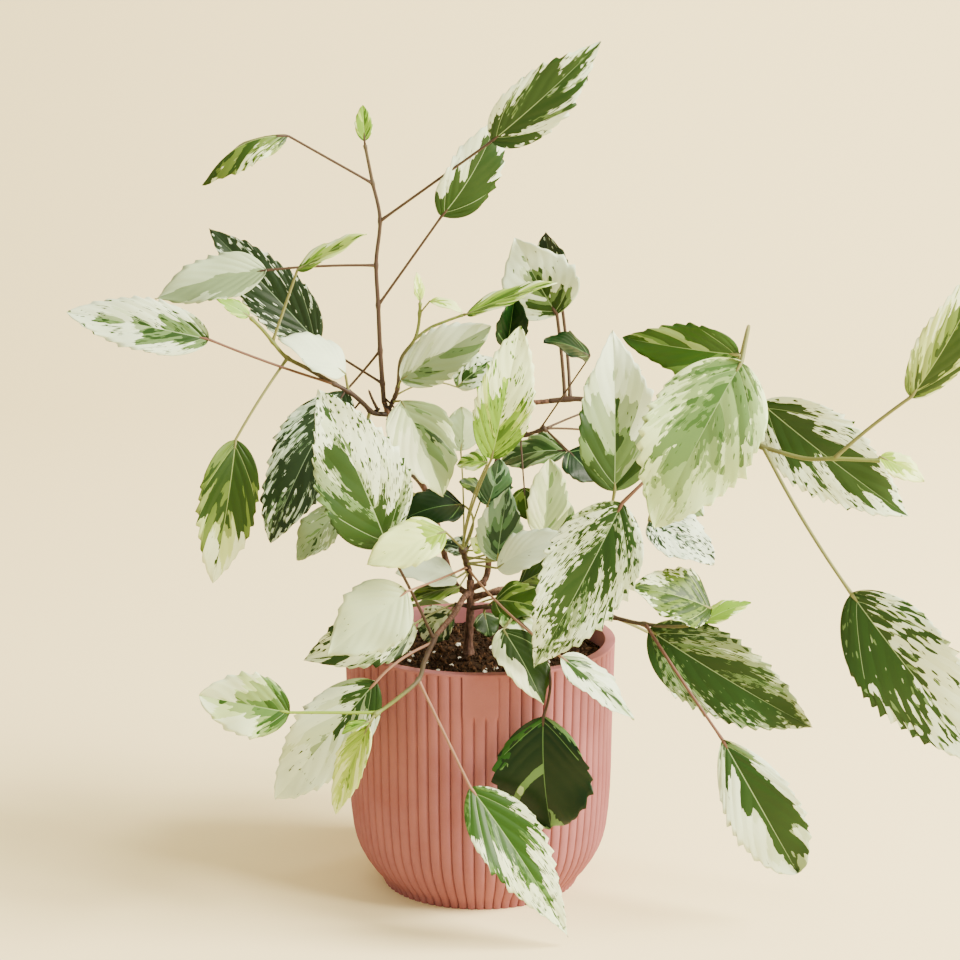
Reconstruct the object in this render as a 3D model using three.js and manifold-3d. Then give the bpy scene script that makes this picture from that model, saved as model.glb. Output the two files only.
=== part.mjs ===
import * as THREE from 'three';
import { mergeVertices } from 'three/addons/utils/BufferGeometryUtils.js';
import Module from 'manifold-3d';

// A variegated hibiscus shrub in a reeded pot. Lengths are mm, +Z is up, -Y is the front,
// and the origin is the middle of the pot's flat underside.

const GAP = 0.3; // air between pieces that bear on each other
const WELD = 1e-4; // points closer than this are one
const OVERSHOOT = 5; // how far a cutting solid stands out of what it cuts

const POT_HEIGHT = 130;
const POT_PROFILE = [ // radius and height of the reeds' crests, from the foot to the lip
  [50.7, 0], [52.3, 4.5], [56.7, 9], [63.3, 20], [67.4, 40], [69.9, 128.2],
];
const LIP_RADIUS = 70;
const LIP_EDGE = 1.2; // height of the plain band above the reeds
const REEDS = 72;
const REED_DEPTH = 0.9;
const CREST_HALF = 0.25; // of a reed's pitch, past which a point lies in a groove
const PANEL_HEIGHT = 21; // the plain panel at the front, below the lip
const PANEL_ANGLE = (3 * 2 * Math.PI) / REEDS;
const PANEL_RADIUS = 69.8;
const PANEL_THICKNESS = 3;
const PANEL_SEGMENTS = 6;
const CAVITY_PROFILE = [[52, 6], [58.5, 14], [63, 40], [64.5, POT_HEIGHT]];
const CAVITY_SIDES = 36;
const SOIL_TOP = 121;

// The plant is laid out on a front elevation, as seen from a standpoint before it and a little
// above it: across and rise are mm on that elevation, whose foot is the pot's, and near is how
// far a point stands in front of the pot's axis.
const STANDPOINT = new THREE.Vector3(0, -1348.5, 507.2);
const SIGHT_TILT = THREE.MathUtils.degToRad(12.3);
const ELEVATION_DISTANCE = 1404;
const SIGHT_RISE = 204.9;

const STEM_SIDES = 5;
const PETIOLE_SIDES = 3;
const PETIOLE_STEPS = 3;
const BENT_PETIOLE_STEPS = 4;
const PETIOLE_RADIUS = 0.7;
const PETIOLE_SUNK = 5; // how far a petiole runs on inside its blade
const MOST_SUNK = 0.5; // of the blade's length, where the blade is a short one
const BLADE_THICKNESS = 1 / 75; // of its length
const THINNEST_BLADE = 0.9;
const BLADE_STATIONS = [0, 0.12, 0.3, 0.56, 0.82, 1];
const SMALL_STATIONS = [0, 0.14, 0.4, 0.72, 1];
const SMALL_LENGTH = 42; // a shorter blade has fewer stations
const BLADE_FOLD = 12; // degrees that each half rises from the midrib
const WIDEST_AT = 0.4; // of the blade's length
const BASE_FULLNESS = 0.62;

// The trunk is a stem, the stub of a limb that was cut off, and a flared foot.
const TRUNK = [
  {
    points: [[-6, 108, 0], [-6, 120, 0], [-5, 136, 1], [-5, 153, 0]], from: 2.5, to: 2.1,
    sides: 8, steps: 6,
  },
  { points: [[-4, 149, 0], [3, 151, 4]], from: 1.5, to: 1.3, sides: 6, steps: 2 },
  { points: [[-6, 108, 0], [-6, 121, 0]], from: 4.2, to: 2.4, sides: 8, steps: 2 },
];
const GROUND_SIZE = 40; // of the block that trims the trunk level with the soil

// Boughs, each a tapering limb that grows out of the trunk.
const BOUGHS = {
  left_bough: {
    points: [[-5, 145, 0], [-13, 151, -4], [-26, 194, -8], [-45, 232, 4], [-50, 246, 10]],
    from: 1.8, to: 1.45,
  },
  right_bough: {
    points: [
      [-5, 148, 0], [3, 154, -9], [5, 194, -15], [13, 229, -22], [21, 243, -26], [36, 246, -27],
    ],
    from: 1.8, to: 1.4,
  },
  low_left_bough: {
    points: [[-5, 147, 0], [-9, 143, 8], [-13, 136, 20], [-23, 124, 40]], from: 1.7, to: 1.5,
  },
  low_right_bough: {
    points: [[-5, 144, 0], [6, 146, 5], [16, 146, 8], [49, 138, 16]], from: 1.7, to: 1.4,
  },
  rear_bough: {
    points: [[-5, 142, 0], [2, 145, -14], [10, 148, -35], [20, 148, -70]], from: 1.7, to: 1.4,
  },
};

// The masses of foliage. Each grows on one limb as one or more shoots, a later shoot out of an
// earlier one. A leaf stands at a share of its shoot's length, its petiole may bend by way of a
// point, and its blade is turned about its midrib from facing the standpoint, in degrees.
const SPRAYS = {
  tall_spray: {
    on: 'left_bough',
    shoots: [{
      stem: [
        [-50, 246, 10], [-51, 259, 11], [-52, 274, 11], [-53, 297, 12], [-54, 318, 12],
        [-52, 341, 11], [-56, 360, 10], [-58, 370, 10], [-60, 380, 10],
      ],
      from: 1.15, to: 0.75,
      leaves: [
        { at: 0.99, base: [-60, 381, 10], tip: [-61, 400, 8], wide: 9, turn: 0, arch: 0 },
        {
          at: 0.845, base: [-100, 384, 15], tip: [-144, 358, 20], wide: 22, turn: 50, arch: 0.2,
          fold: -40,
        },
        { at: 0.7, base: [6, 381, 24], tip: [63, 433, 36], wide: 31, turn: 14, arch: 0.06 },
        { at: 0.376, base: [-20, 342, 10], tip: [9, 393, 6], wide: 30, turn: 30, arch: 0.1 },
        {
          at: 0.53, via: [-83, 317, 16], base: [-111, 314, 20], tip: [-169, 299, 20], wide: 29,
          turn: 36, arch: 0.05,
        },
        { at: 0.07, base: [-84, 276, -6], tip: [-141, 336, -16], wide: 31, turn: 10, arch: 0.03 },
        {
          at: 0.2, via: [-60, 262, 4], base: [-70, 251, 10], tip: [-109, 172, 38], wide: 38,
          turn: 20, arch: 0.1,
        },
      ],
    }],
  },
  left_spray: {
    on: 'left_bough',
    shoots: [{
      stem: [
        [-49, 239, 8], [-56, 240, 14], [-60, 244, 18], [-67, 250, 22], [-76, 255, 25],
        [-90, 263, 28], [-101, 269, 31], [-108, 277, 33], [-113, 283, 36], [-120, 290, 40],
      ],
      from: 1.2, to: 0.75,
      leaves: [
        { at: 0.98, base: [-120, 290, 40], tip: [-137, 299, 44], wide: 9, turn: 30, arch: 0.05 },
        { at: 0.8, base: [-95, 314, 38], tip: [-59, 333, 40], wide: 16, turn: -60, arch: 0.03 },
        {
          at: 0.39, via: [-107, 264, 38], base: [-141, 278, 46], tip: [-215, 292, 52], wide: 28,
          turn: 14, arch: 0.04,
        },
        {
          at: 0.68, via: [-116, 246, 44], base: [-127, 226, 50], tip: [-139, 151, 60], wide: 32,
          turn: -10, arch: 0.08,
        },
        { at: 0.3, base: [-70, 260, 26], tip: [-105, 279, 30], wide: 26, turn: 48, arch: 0.08 },
        {
          at: 0.12, via: [-60, 226, 14], base: [-72, 190, 30], tip: [-95, 163, 36], wide: 24,
          turn: 35, arch: 0.06,
        },
      ],
    }],
  },
  upper_spray: {
    on: 'left_bough',
    shoots: [
      {
        stem: [
          [-48, 240, 7], [-43, 252, 13], [-41, 268, 14], [-34, 278, 15], [-32, 285, 15],
          [-31, 298, 14],
        ],
        from: 1.1, to: 0.75,
        leaves: [
          { at: 0.25, base: [-41, 257, 18], tip: [3, 284, 30], wide: 32, turn: -16, arch: 0.04 },
          { at: 0.12, base: [-41, 246, 20], tip: [-19, 196, 36], wide: 36, turn: -20, arch: 0.1 },
          {
            at: 0.18, via: [-26, 260, 8], base: [-12, 253, 6], tip: [10, 267, 0], wide: 24,
            turn: -40, arch: 0.1,
          },
          { at: 0.98, base: [-31, 298, 14], tip: [-33, 313, 13], wide: 7, turn: 40, arch: 0 },
          { at: 0.9, base: [-26, 298, 16], tip: [-9, 292, 20], wide: 8, turn: -50, arch: 0.1 },
        ],
      },
      {
        stem: [[-34, 278, 15], [-26, 284, 13], [-19, 287, 12], [-8, 291, 12]], from: 0.9, to: 0.7,
        leaves: [
          { at: 0.98, base: [-7, 291, 12], tip: [40, 308, 18], wide: 17, turn: -60, arch: 0.03 },
        ],
      },
    ],
  },
  heart_spray: {
    on: 'trunk',
    shoots: [{
      stem: [[-5, 153, 0], [-6, 158, 4], [-8, 165, 9], [-9, 170, 13]], from: 1.5, to: 1.1,
      leaves: [
        {
          at: 0.98, via: [-7, 188, 28], base: [6, 216, 44], tip: [21, 285, 42], wide: 30,
          turn: 4, arch: 0.07,
        },
        { at: 0.95, base: [-18, 178, 66], tip: [-59, 161, 78], wide: 25, turn: 20, arch: 0.08 },
        {
          at: 0.4, via: [-21, 153, 34], base: [-38, 147, 66], tip: [-79, 114, 78], wide: 36,
          turn: 6, arch: 0.05,
        },
        {
          at: 0.35, via: [10, 137, 46], base: [42, 113, 80], tip: [80, 80, 88], wide: 24,
          turn: -50, arch: 0.04,
        },
        { at: 0.7, base: [9, 163, 22], tip: [15, 201, 30], wide: 26, turn: -15, arch: 0.05 },
        {
          at: 0.8, via: [0, 176, 14], base: [4, 192, 14], tip: [10, 216, 18], wide: 20,
          turn: 30, arch: 0.05,
        },
        { at: 0.6, base: [33, 174, 10], tip: [36, 216, 8], wide: 24, turn: 25, arch: 0.04 },
        { at: 0.5, base: [38, 166, 0], tip: [44, 197, -2], wide: 20, turn: 20, arch: 0.06 },
        { at: 0.5, base: [9, 159, 34], tip: [46, 176, 42], wide: 22, turn: -30, arch: 0.1 },
        { at: 0.9, base: [2, 168, 20], tip: [-5, 175, 24], wide: 9, turn: 20, arch: 0 },
        { at: 0.7, base: [-6, 168, 2], tip: [-20, 172, -4], wide: 14, turn: 40, arch: 0.05 },
        {
          at: 0.92, via: [2, 186, 14], base: [-9, 192, 12], tip: [-41, 184, 24], wide: 26,
          turn: 40, arch: 0.1,
        },
        { at: 0.9, base: [2, 199, 8], tip: [-11, 204, 12], wide: 11, turn: 45, arch: 0.05 },
        {
          at: 0.96, via: [-8, 190, 20], base: [4, 214, 34], tip: [-12, 213, 28], wide: 16,
          turn: 50, arch: 0.1,
        },
        {
          at: 0.85, via: [-8, 196, 2], base: [-10, 220, -2], tip: [-10, 243, -4], wide: 24,
          turn: 30, arch: 0.06,
        },
        { at: 0.3, base: [-12, 154, 14], tip: [-44, 157, 24], wide: 24, turn: 50, arch: 0.08 },
        { at: 0.25, base: [-11, 149, 17], tip: [-37, 142, 28], wide: 18, turn: 55, arch: 0.06 },
      ],
    }],
  },
  back_spray: {
    on: 'right_bough',
    shoots: [{
      stem: [[13, 229, -22], [22, 228, -20], [29, 230, -18], [35, 232, -17]], from: 1.15, to: 0.9,
      leaves: [
        { at: 0.8, base: [57, 269, 2], tip: [33, 277, 8], wide: 24, turn: 62, arch: 0.1 },
        { at: 0.95, base: [45, 220, -30], tip: [10, 213, -38], wide: 26, turn: 50, arch: 0.1 },
        { at: 0.95, base: [46, 220, -20], tip: [60, 204, -14], wide: 24, turn: -30, arch: 0.06 },
        { at: 0.35, base: [23, 201, -12], tip: [25, 184, -8], wide: 16, turn: 20, arch: 0.05 },
        {
          at: 0.5, via: [20, 252, -12], base: [14, 274, -12], tip: [18, 301, -8], wide: 23,
          turn: 10, arch: 0.04, fold: 35,
        },
        {
          at: 0.98, via: [48, 238, -30], base: [57, 241, -38], tip: [84, 262, -66], wide: 34,
          turn: -140, arch: 0.1,
        },
        {
          at: 0.96, via: [50, 232, -40], base: [62, 230, -52], tip: [94, 204, -84], wide: 34,
          turn: -150, arch: 0.1,
        },
      ],
    }],
  },
  right_spray: {
    on: 'right_bough',
    shoots: [{
      stem: [
        [36, 246, -27], [52, 247, -26], [88, 239, -12], [125, 228, 8], [147, 222, 24],
        [170, 216, 32], [185, 216, 36], [209, 215, 38],
      ],
      from: 1.3, to: 0.8,
      leaves: [
        {
          at: 0.045, via: [43, 268, -29], base: [40, 291, -24], tip: [18, 331, -18], wide: 42,
          turn: -12, arch: 0.06,
        },
        {
          at: 0.06, via: [46, 272, -38], base: [42, 300, -36], tip: [34, 334, -38], wide: 22,
          turn: -30, arch: 0.05,
        },
        {
          at: 0.44, via: [104, 222, 76], base: [74, 193, 74], tip: [28, 107, 84], wide: 47,
          turn: -10, arch: 0.06,
        },
        {
          at: 0.55, via: [136, 240, 30], base: [135, 270, 34], tip: [74, 279, 30], wide: 28,
          turn: -20, arch: 0.04,
        },
        {
          at: 0.53, via: [147, 318, 46], base: [136, 266, 88], tip: [91, 180, 104], wide: 57,
          turn: 8, arch: 0.08,
        },
        {
          at: 0.42, via: [96, 212, 14], base: [88, 184, 42], tip: [122, 161, 56], wide: 30,
          turn: -35, arch: 0.06,
        },
        { at: 0.66, base: [146, 245, 16], tip: [223, 186, 6], wide: 43, turn: 10, arch: 0.07 },
        {
          at: 0.87, via: [200, 231, 42], base: [224, 248, 50], tip: [263, 317, 58], wide: 30,
          turn: 24, arch: 0.08,
        },
        { at: 0.99, base: [208, 217, 38], tip: [231, 204, 42], wide: 14, turn: -30, arch: 0.06 },
        {
          at: 0.67, via: [166, 184, 52], base: [193, 146, 70], tip: [265, 57, 84], wide: 50,
          turn: 12, arch: 0.07,
        },
        {
          at: 0.36, via: [90, 240, -30], base: [98, 226, -44], tip: [116, 186, -72], wide: 36,
          turn: 150, arch: 0.1,
        },
      ],
    }],
  },
  low_right_spray: {
    on: 'low_right_bough',
    shoots: [{
      stem: [[49, 138, 16], [67, 134, 24], [85, 130, 36], [107, 129, 46], [115, 132, 50]],
      from: 1.3, to: 0.85,
      leaves: [
        {
          at: 0.15, via: [64, 166, 34], base: [70, 199, 44], tip: [69, 283, 38], wide: 44,
          turn: 12, arch: 0.04, fold: 24,
        },
        { at: 0.98, base: [120, 138, 54], tip: [78, 149, 64], wide: 34, turn: 35, arch: 0.08 },
        { at: 0.97, base: [116, 131, 48], tip: [141, 141, 44], wide: 14, turn: -45, arch: 0.06 },
        { at: 0.55, base: [88, 127, 38], tip: [173, 76, 58], wide: 43, turn: 12, arch: 0.06 },
        {
          at: 0.57, via: [99, 109, 66], base: [126, 70, 76], tip: [165, 1, 80], wide: 37,
          turn: 0, arch: 0.07,
        },
        {
          at: 0.3, via: [80, 130, 6], base: [94, 122, -6], tip: [135, 92, -30], wide: 36,
          turn: 150, arch: 0.1,
        },
      ],
    }],
  },
  low_left_spray: {
    on: 'low_left_bough',
    shoots: [{
      stem: [
        [-23, 124, 40], [-29, 110, 64], [-32, 101, 76], [-42, 92, 84], [-50, 86, 88],
        [-56, 82, 92],
      ],
      from: 1.45, to: 0.85,
      leaves: [
        {
          at: 0.06, via: [-35, 147, 46], base: [-48, 170, 60], tip: [-84, 252, 78], wide: 48,
          turn: 15, arch: 0.05,
        },
        {
          at: 0.1, via: [-43, 113, 66], base: [-54, 100, 70], tip: [-106, 39, 62], wide: 37,
          turn: 5, arch: 0.07,
        },
        { at: 0.56, base: [-5, 45, 89], tip: [46, -33, 100], wide: 35, turn: -16, arch: 0.07 },
        { at: 0.95, base: [-99, 84, 94], tip: [-146, 93, 96], wide: 32, turn: -4, arch: 0.06 },
        { at: 0.98, base: [-58, 77, 92], tip: [-75, 31, 82], wide: 18, turn: 30, arch: 0.06 },
        { at: 0.97, base: [-58, 79, 97], tip: [-72, 73, 101], wide: 10, turn: 60, arch: 0.05 },
      ],
    }],
  },
  under_spray: {
    on: 'trunk',
    shoots: [{
      stem: [[-5, 139, 0], [-10, 140, 1], [-14, 140, 2]], from: 1.2, to: 1,
      leaves: [
        {
          at: 0.95, via: [-22, 138, 14], base: [-34, 130, 38], tip: [-92, 111, 58], wide: 32,
          turn: 10, arch: 0.06,
        },
        { at: 0.9, base: [-15, 137, 2], tip: [-29, 121, 2], wide: 22, turn: 30, arch: 0.08 },
      ],
    }],
  },
  front_spray: {
    on: 'trunk',
    shoots: [{
      stem: [[-5, 138, 0], [2, 139, 14], [9, 138, 26], [18, 133, 38]], from: 1.2, to: 1,
      leaves: [
        { at: 0.45, base: [7, 142, 24], tip: [34, 137, 36], wide: 26, turn: -35, arch: 0.1 },
        { at: 0.75, base: [12, 136, 34], tip: [29, 122, 48], wide: 19, turn: -45, arch: 0.06 },
        { at: 0.4, base: [2, 136, 14], tip: [5, 123, 18], wide: 16, turn: -30, arch: 0.04 },
        { at: 0.97, base: [12, 127, 58], tip: [33, 88, 88], wide: 27, turn: -30, arch: 0.05 },
        {
          at: 0.98, via: [45, 114, 72], base: [33, 82, 80], tip: [37, 24, 82], wide: 54,
          turn: 25, arch: 0.07,
        },
      ],
    }],
  },
  rear_spray: {
    on: 'rear_bough',
    shoots: [{
      stem: [[20, 148, -70], [24, 141, -86], [25, 122, -98], [23, 106, -102]],
      from: 1.3, to: 0.9,
      leaves: [
        {
          at: 0.08, via: [22, 154, -40], base: [20, 150, -20], tip: [44, 161, -14], wide: 22,
          turn: -45, arch: 0.06,
        },
        { at: 0.35, base: [40, 128, -96], tip: [46, 62, -108], wide: 34, turn: 170, arch: 0.1 },
        { at: 0.6, base: [10, 116, -102], tip: [-8, 56, -108], wide: 38, turn: 190, arch: 0.1 },
        { at: 0.97, base: [24, 100, -106], tip: [26, 52, -122], wide: 34, turn: 180, arch: 0.1 },
        {
          at: 0.2, via: [6, 146, -92], base: [-10, 136, -94], tip: [-52, 106, -108], wide: 36,
          turn: 160, arch: 0.1,
        },
      ],
    }],
  },
  rear_left_spray: {
    on: 'left_bough',
    shoots: [{
      stem: [[-26, 194, -8], [-32, 204, -26], [-42, 213, -44]], from: 1.2, to: 0.95,
      leaves: [
        { at: 0.97, base: [-50, 220, -54], tip: [-72, 198, -92], wide: 36, turn: 160, arch: 0.1 },
        { at: 0.8, base: [-42, 202, -48], tip: [-57, 176, -84], wide: 32, turn: 170, arch: 0.1 },
        { at: 0.9, base: [-36, 222, -52], tip: [-22, 212, -92], wide: 30, turn: 190, arch: 0.1 },
      ],
    }],
  },
};

const FINISHES = {
  pot: { color: '#cf8f7d', roughness: 0.7 },
  soil: { color: '#1f1511', roughness: 0.95 },
  trunk: { color: '#6b4a38', roughness: 0.8 },
  bough: { color: '#7d5444', roughness: 0.75 },
  leaf: { color: '#a9bf8d', roughness: 0.5 },
};

const wasm = await Module();
wasm.setup();

function place([across, rise, near]) {
  const cosine = Math.cos(SIGHT_TILT);
  const sine = Math.sin(SIGHT_TILT);
  const slope = (rise - SIGHT_RISE) / ELEVATION_DISTANCE;
  const reach = (-STANDPOINT.y - near) / (cosine + sine * slope);
  const height = STANDPOINT.z + reach * (cosine * slope - sine);
  return new THREE.Vector3((reach * across) / ELEVATION_DISTANCE, -near, height);
}

function solidOf(geometry) {
  geometry.deleteAttribute('normal');
  geometry.deleteAttribute('uv');
  const merged = mergeVertices(geometry, WELD);
  const corners = merged.index.array;
  const triVerts = [];
  for (let i = 0; i < corners.length; i += 3) {
    const [a, b, c] = corners.slice(i, i + 3);
    if (a !== b && b !== c && c !== a) triVerts.push(a, b, c);
  }
  const vertProperties = new Float32Array(merged.attributes.position.array);
  const mesh = { numProp: 3, vertProperties, triVerts: Uint32Array.from(triVerts) };
  return new wasm.Manifold(new wasm.Mesh(mesh));
}

// A closed solid over rings of as many points each, anticlockwise about the way they follow.
function skin(rings) {
  const size = rings[0].length;
  const last = (rings.length - 1) * size;
  const faces = [];
  for (let start = 0; start < last; start += size) {
    for (let i = 0; i < size; i++) {
      const a = start + i;
      const b = start + (i + 1) % size;
      faces.push(a, b, b + size, a, b + size, a + size);
    }
  }
  for (let i = 1; i + 1 < size; i++) {
    faces.push(0, i + 1, i, last, last + i, last + i + 1);
  }
  const geometry = new THREE.BufferGeometry().setFromPoints(rings.flat());
  geometry.setIndex(faces);
  return solidOf(geometry);
}

// A tapering limb along a curve. Swollen, it is the room that its neighbours leave it.
function limb(curve, { from, to, sides = 6, steps = 8, swell = 0 }) {
  const { tangents, normals, binormals } = curve.computeFrenetFrames(steps, false);
  const rings = tangents.map((tangent, step) => {
    const share = step / steps;
    const radius = THREE.MathUtils.lerp(from, to, share) + swell;
    const centre = curve.getPointAt(share);
    if (step === 0) centre.addScaledVector(tangent, -swell);
    if (step === steps) centre.addScaledVector(tangent, swell);
    return Array.from({ length: sides }, (_, side) => {
      const angle = (2 * Math.PI * side) / sides;
      return centre.clone()
        .addScaledVector(normals[step], radius * Math.cos(angle))
        .addScaledVector(binormals[step], radius * Math.sin(angle));
    });
  });
  return skin(rings);
}

function route(points) {
  return new THREE.CatmullRomCurve3(points.map(place), false, 'centripetal');
}

// An ovate outline: the half width at a share of the length, the widest being 1.
function outline(share) {
  const tipFullness = BASE_FULLNESS * (1 / WIDEST_AT - 1);
  return (share / WIDEST_AT) ** BASE_FULLNESS
    * ((1 - share) / (1 - WIDEST_AT)) ** tipFullness;
}

function midribOf({ base, tip, turn, arch }) {
  const start = place(base);
  const end = place(tip);
  const middle = start.clone().lerp(end, 0.5);
  const axis = end.clone().sub(start);
  const length = axis.length();
  axis.normalize();
  const facing = STANDPOINT.clone().sub(middle).projectOnPlane(axis).normalize();
  facing.applyAxisAngle(axis, THREE.MathUtils.degToRad(turn));
  const bend = middle.addScaledVector(facing, 2 * arch * length);
  return { curve: new THREE.QuadraticBezierCurve3(start, bend, end), facing, length };
}

function blade(leaf) {
  const { curve, facing, length } = midribOf(leaf);
  const thickness = Math.max(length * BLADE_THICKNESS, THINNEST_BLADE);
  const fold = THREE.MathUtils.degToRad(leaf.fold ?? BLADE_FOLD);
  const stations = length < SMALL_LENGTH ? SMALL_STATIONS : BLADE_STATIONS;
  const corners = [[1, -1], [1, 1], [0, 1], [-1, 1], [-1, -1], [0, -1]]; // edge and face
  return skin(stations.map((share) => {
    const tangent = curve.getTangent(share);
    const up = facing.clone().projectOnPlane(tangent).normalize();
    const side = up.clone().cross(tangent);
    const half = Math.max((outline(share) * leaf.wide) / 2, thickness);
    return corners.map(([edge, face]) => curve.getPoint(share)
      .addScaledVector(side, edge * half * Math.cos(fold))
      .addScaledVector(up, Math.abs(edge) * half * Math.sin(fold) + (face * thickness) / 2));
  }));
}

function petiole(leaf, stem) {
  const { curve, length } = midribOf(leaf);
  const start = stem.getPointAt(leaf.at);
  const base = curve.getPoint(0);
  const sunk = curve.getPointAt(Math.min(PETIOLE_SUNK / length, MOST_SUNK));
  const bend = leaf.via ? place(leaf.via) : start.clone().lerp(base, 0.5);
  const path = new THREE.CurvePath();
  path.add(new THREE.QuadraticBezierCurve3(start, bend, base));
  path.add(new THREE.LineCurve3(base, sunk));
  return limb(path, {
    from: PETIOLE_RADIUS, to: PETIOLE_RADIUS, sides: PETIOLE_SIDES,
    steps: leaf.via ? BENT_PETIOLE_STEPS : PETIOLE_STEPS,
  });
}

function fuse(solids) {
  return solids.reduce((whole, solid) => whole.add(solid));
}

function spray({ shoots }) {
  return fuse(shoots.flatMap(({ stem, from, to, leaves }) => {
    const curve = route(stem);
    const shoot = limb(curve, { from, to, sides: STEM_SIDES, steps: stem.length + 1 });
    return [shoot, ...leaves.flatMap((leaf) => [petiole(leaf, curve), blade(leaf)])];
  }));
}

function lathe(profile, sides) {
  const points = profile.map(([radius, height]) => new THREE.Vector2(radius, height));
  return new THREE.LatheGeometry(points, sides).rotateX(Math.PI / 2);
}

function reededBody() {
  const profile = [
    [0, 0], ...POT_PROFILE, [LIP_RADIUS, POT_HEIGHT - LIP_EDGE], [LIP_RADIUS, POT_HEIGHT],
    [0, POT_HEIGHT],
  ];
  const body = lathe(profile, 2 * REEDS);
  const { position } = body.attributes;
  const grooveStep = (2 * Math.PI) / REEDS;
  for (let i = 0; i < position.count; i++) {
    const radius = Math.hypot(position.getX(i), position.getY(i));
    const turns = Math.atan2(position.getX(i), -position.getY(i)) / grooveStep;
    const inGroove = Math.abs(turns - Math.round(turns)) > CREST_HALF;
    const onReeds = radius > WELD && position.getZ(i) < POT_HEIGHT - LIP_EDGE - WELD;
    if (!onReeds || !inGroove) continue;
    const scale = 1 - REED_DEPTH / radius;
    position.setXY(i, position.getX(i) * scale, position.getY(i) * scale);
  }
  return solidOf(body);
}

function panel() {
  const front = -Math.PI / 2;
  const shape = new THREE.Shape();
  shape.absarc(0, 0, PANEL_RADIUS, front - PANEL_ANGLE / 2, front + PANEL_ANGLE / 2);
  const back = PANEL_RADIUS - PANEL_THICKNESS;
  shape.absarc(0, 0, back, front + PANEL_ANGLE / 2, front - PANEL_ANGLE / 2, true);
  const settings = { depth: PANEL_HEIGHT, bevelEnabled: false, curveSegments: PANEL_SEGMENTS };
  const plate = new THREE.ExtrudeGeometry(shape, settings);
  return solidOf(plate.translate(0, 0, POT_HEIGHT - LIP_EDGE / 2 - PANEL_HEIGHT));
}

function pot() {
  const [floorRadius, floor] = CAVITY_PROFILE[0];
  const over = [CAVITY_PROFILE.at(-1)[0], POT_HEIGHT + OVERSHOOT];
  const cavity = [[0, floor], [floorRadius, floor], ...CAVITY_PROFILE.slice(1), over, [0, over[1]]];
  return reededBody().add(panel()).subtract(solidOf(lathe(cavity, CAVITY_SIDES)));
}

function soil() {
  const [below, above] = CAVITY_PROFILE.slice(-2);
  const share = (SOIL_TOP - below[1]) / (above[1] - below[1]);
  const topRadius = THREE.MathUtils.lerp(below[0], above[0], share);
  const wall = [...CAVITY_PROFILE.slice(0, -1), [topRadius, SOIL_TOP]];
  const profile = wall.map(([radius, height]) => [radius - GAP, height]);
  profile[0][1] += GAP;
  return solidOf(lathe([[0, profile[0][1]], ...profile, [0, SOIL_TOP]], CAVITY_SIDES));
}

function trunkShape(swell) {
  return fuse(TRUNK.map(({ points, ...form }) => limb(route(points), { ...form, swell })));
}

function trunk() {
  const ground = new THREE.BoxGeometry(GROUND_SIZE, GROUND_SIZE, GROUND_SIZE);
  const top = SOIL_TOP + GAP;
  return trunkShape(0).subtract(solidOf(ground.translate(0, 0, top - GROUND_SIZE / 2)));
}

function addNode(group, name, solid, finish) {
  const { vertProperties, triVerts } = solid.getMesh();
  const geometry = new THREE.BufferGeometry();
  geometry.setAttribute('position', new THREE.BufferAttribute(vertProperties, 3));
  geometry.setIndex(new THREE.BufferAttribute(triVerts, 1));
  geometry.computeVertexNormals();
  const material = new THREE.MeshStandardMaterial({ ...finish, metalness: 0 });
  const mesh = new THREE.Mesh(geometry, material);
  mesh.name = name;
  group.add(mesh);
}

const group = new THREE.Group();
addNode(group, 'pot', pot(), FINISHES.pot);
addNode(group, 'soil', soil(), FINISHES.soil);
addNode(group, 'trunk', trunk(), FINISHES.trunk);

const rooms = { trunk: trunkShape(GAP) };
for (const [name, { points, from, to }] of Object.entries(BOUGHS)) {
  const curve = route(points);
  rooms[name] = limb(curve, { from, to, swell: GAP });
  const bough = limb(curve, { from, to }).subtract(rooms.trunk);
  addNode(group, name, bough, FINISHES.bough);
}
for (const [name, mass] of Object.entries(SPRAYS)) {
  addNode(group, name, spray(mass).subtract(rooms[mass.on]), FINISHES.leaf);
}

export default group;
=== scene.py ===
import math

import bmesh
import bpy
import numpy as np
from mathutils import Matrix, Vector, noise


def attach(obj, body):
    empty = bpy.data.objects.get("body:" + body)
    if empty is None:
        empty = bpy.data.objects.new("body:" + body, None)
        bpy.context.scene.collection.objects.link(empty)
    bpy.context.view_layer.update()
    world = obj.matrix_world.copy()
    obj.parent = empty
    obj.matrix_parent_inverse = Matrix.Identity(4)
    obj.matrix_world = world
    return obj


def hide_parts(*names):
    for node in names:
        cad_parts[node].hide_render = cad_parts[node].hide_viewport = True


# A variegated hibiscus shrub in a reeded stoneware pot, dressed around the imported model.
# Blender works in metres. The plant's own numbers are millimetres, as a gardener would say them.

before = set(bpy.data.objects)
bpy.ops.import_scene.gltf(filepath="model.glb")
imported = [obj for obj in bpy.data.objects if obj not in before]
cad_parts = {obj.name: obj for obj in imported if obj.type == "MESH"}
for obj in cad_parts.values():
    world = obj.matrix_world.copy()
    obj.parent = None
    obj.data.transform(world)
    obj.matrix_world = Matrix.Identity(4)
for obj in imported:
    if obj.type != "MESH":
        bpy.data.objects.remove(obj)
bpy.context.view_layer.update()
mm = 0.001


def linear(hexColour):  # an sRGB hex value as the linear colour that a shader takes
    parts = [int(hexColour[i:i + 2], 16) / 255 for i in (1, 3, 5)]
    return (*[p / 12.92 if p <= 0.04045 else ((p + 0.055) / 1.055) ** 2.4 for p in parts], 1)


def blended(first, second, share):  # the hex colour at a share of the way between two
    pairs = [(int(first[i:i + 2], 16), int(second[i:i + 2], 16)) for i in (1, 3, 5)]
    return "#" + "".join(f"{round(a + (b - a) * share):02x}" for a, b in pairs)


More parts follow.
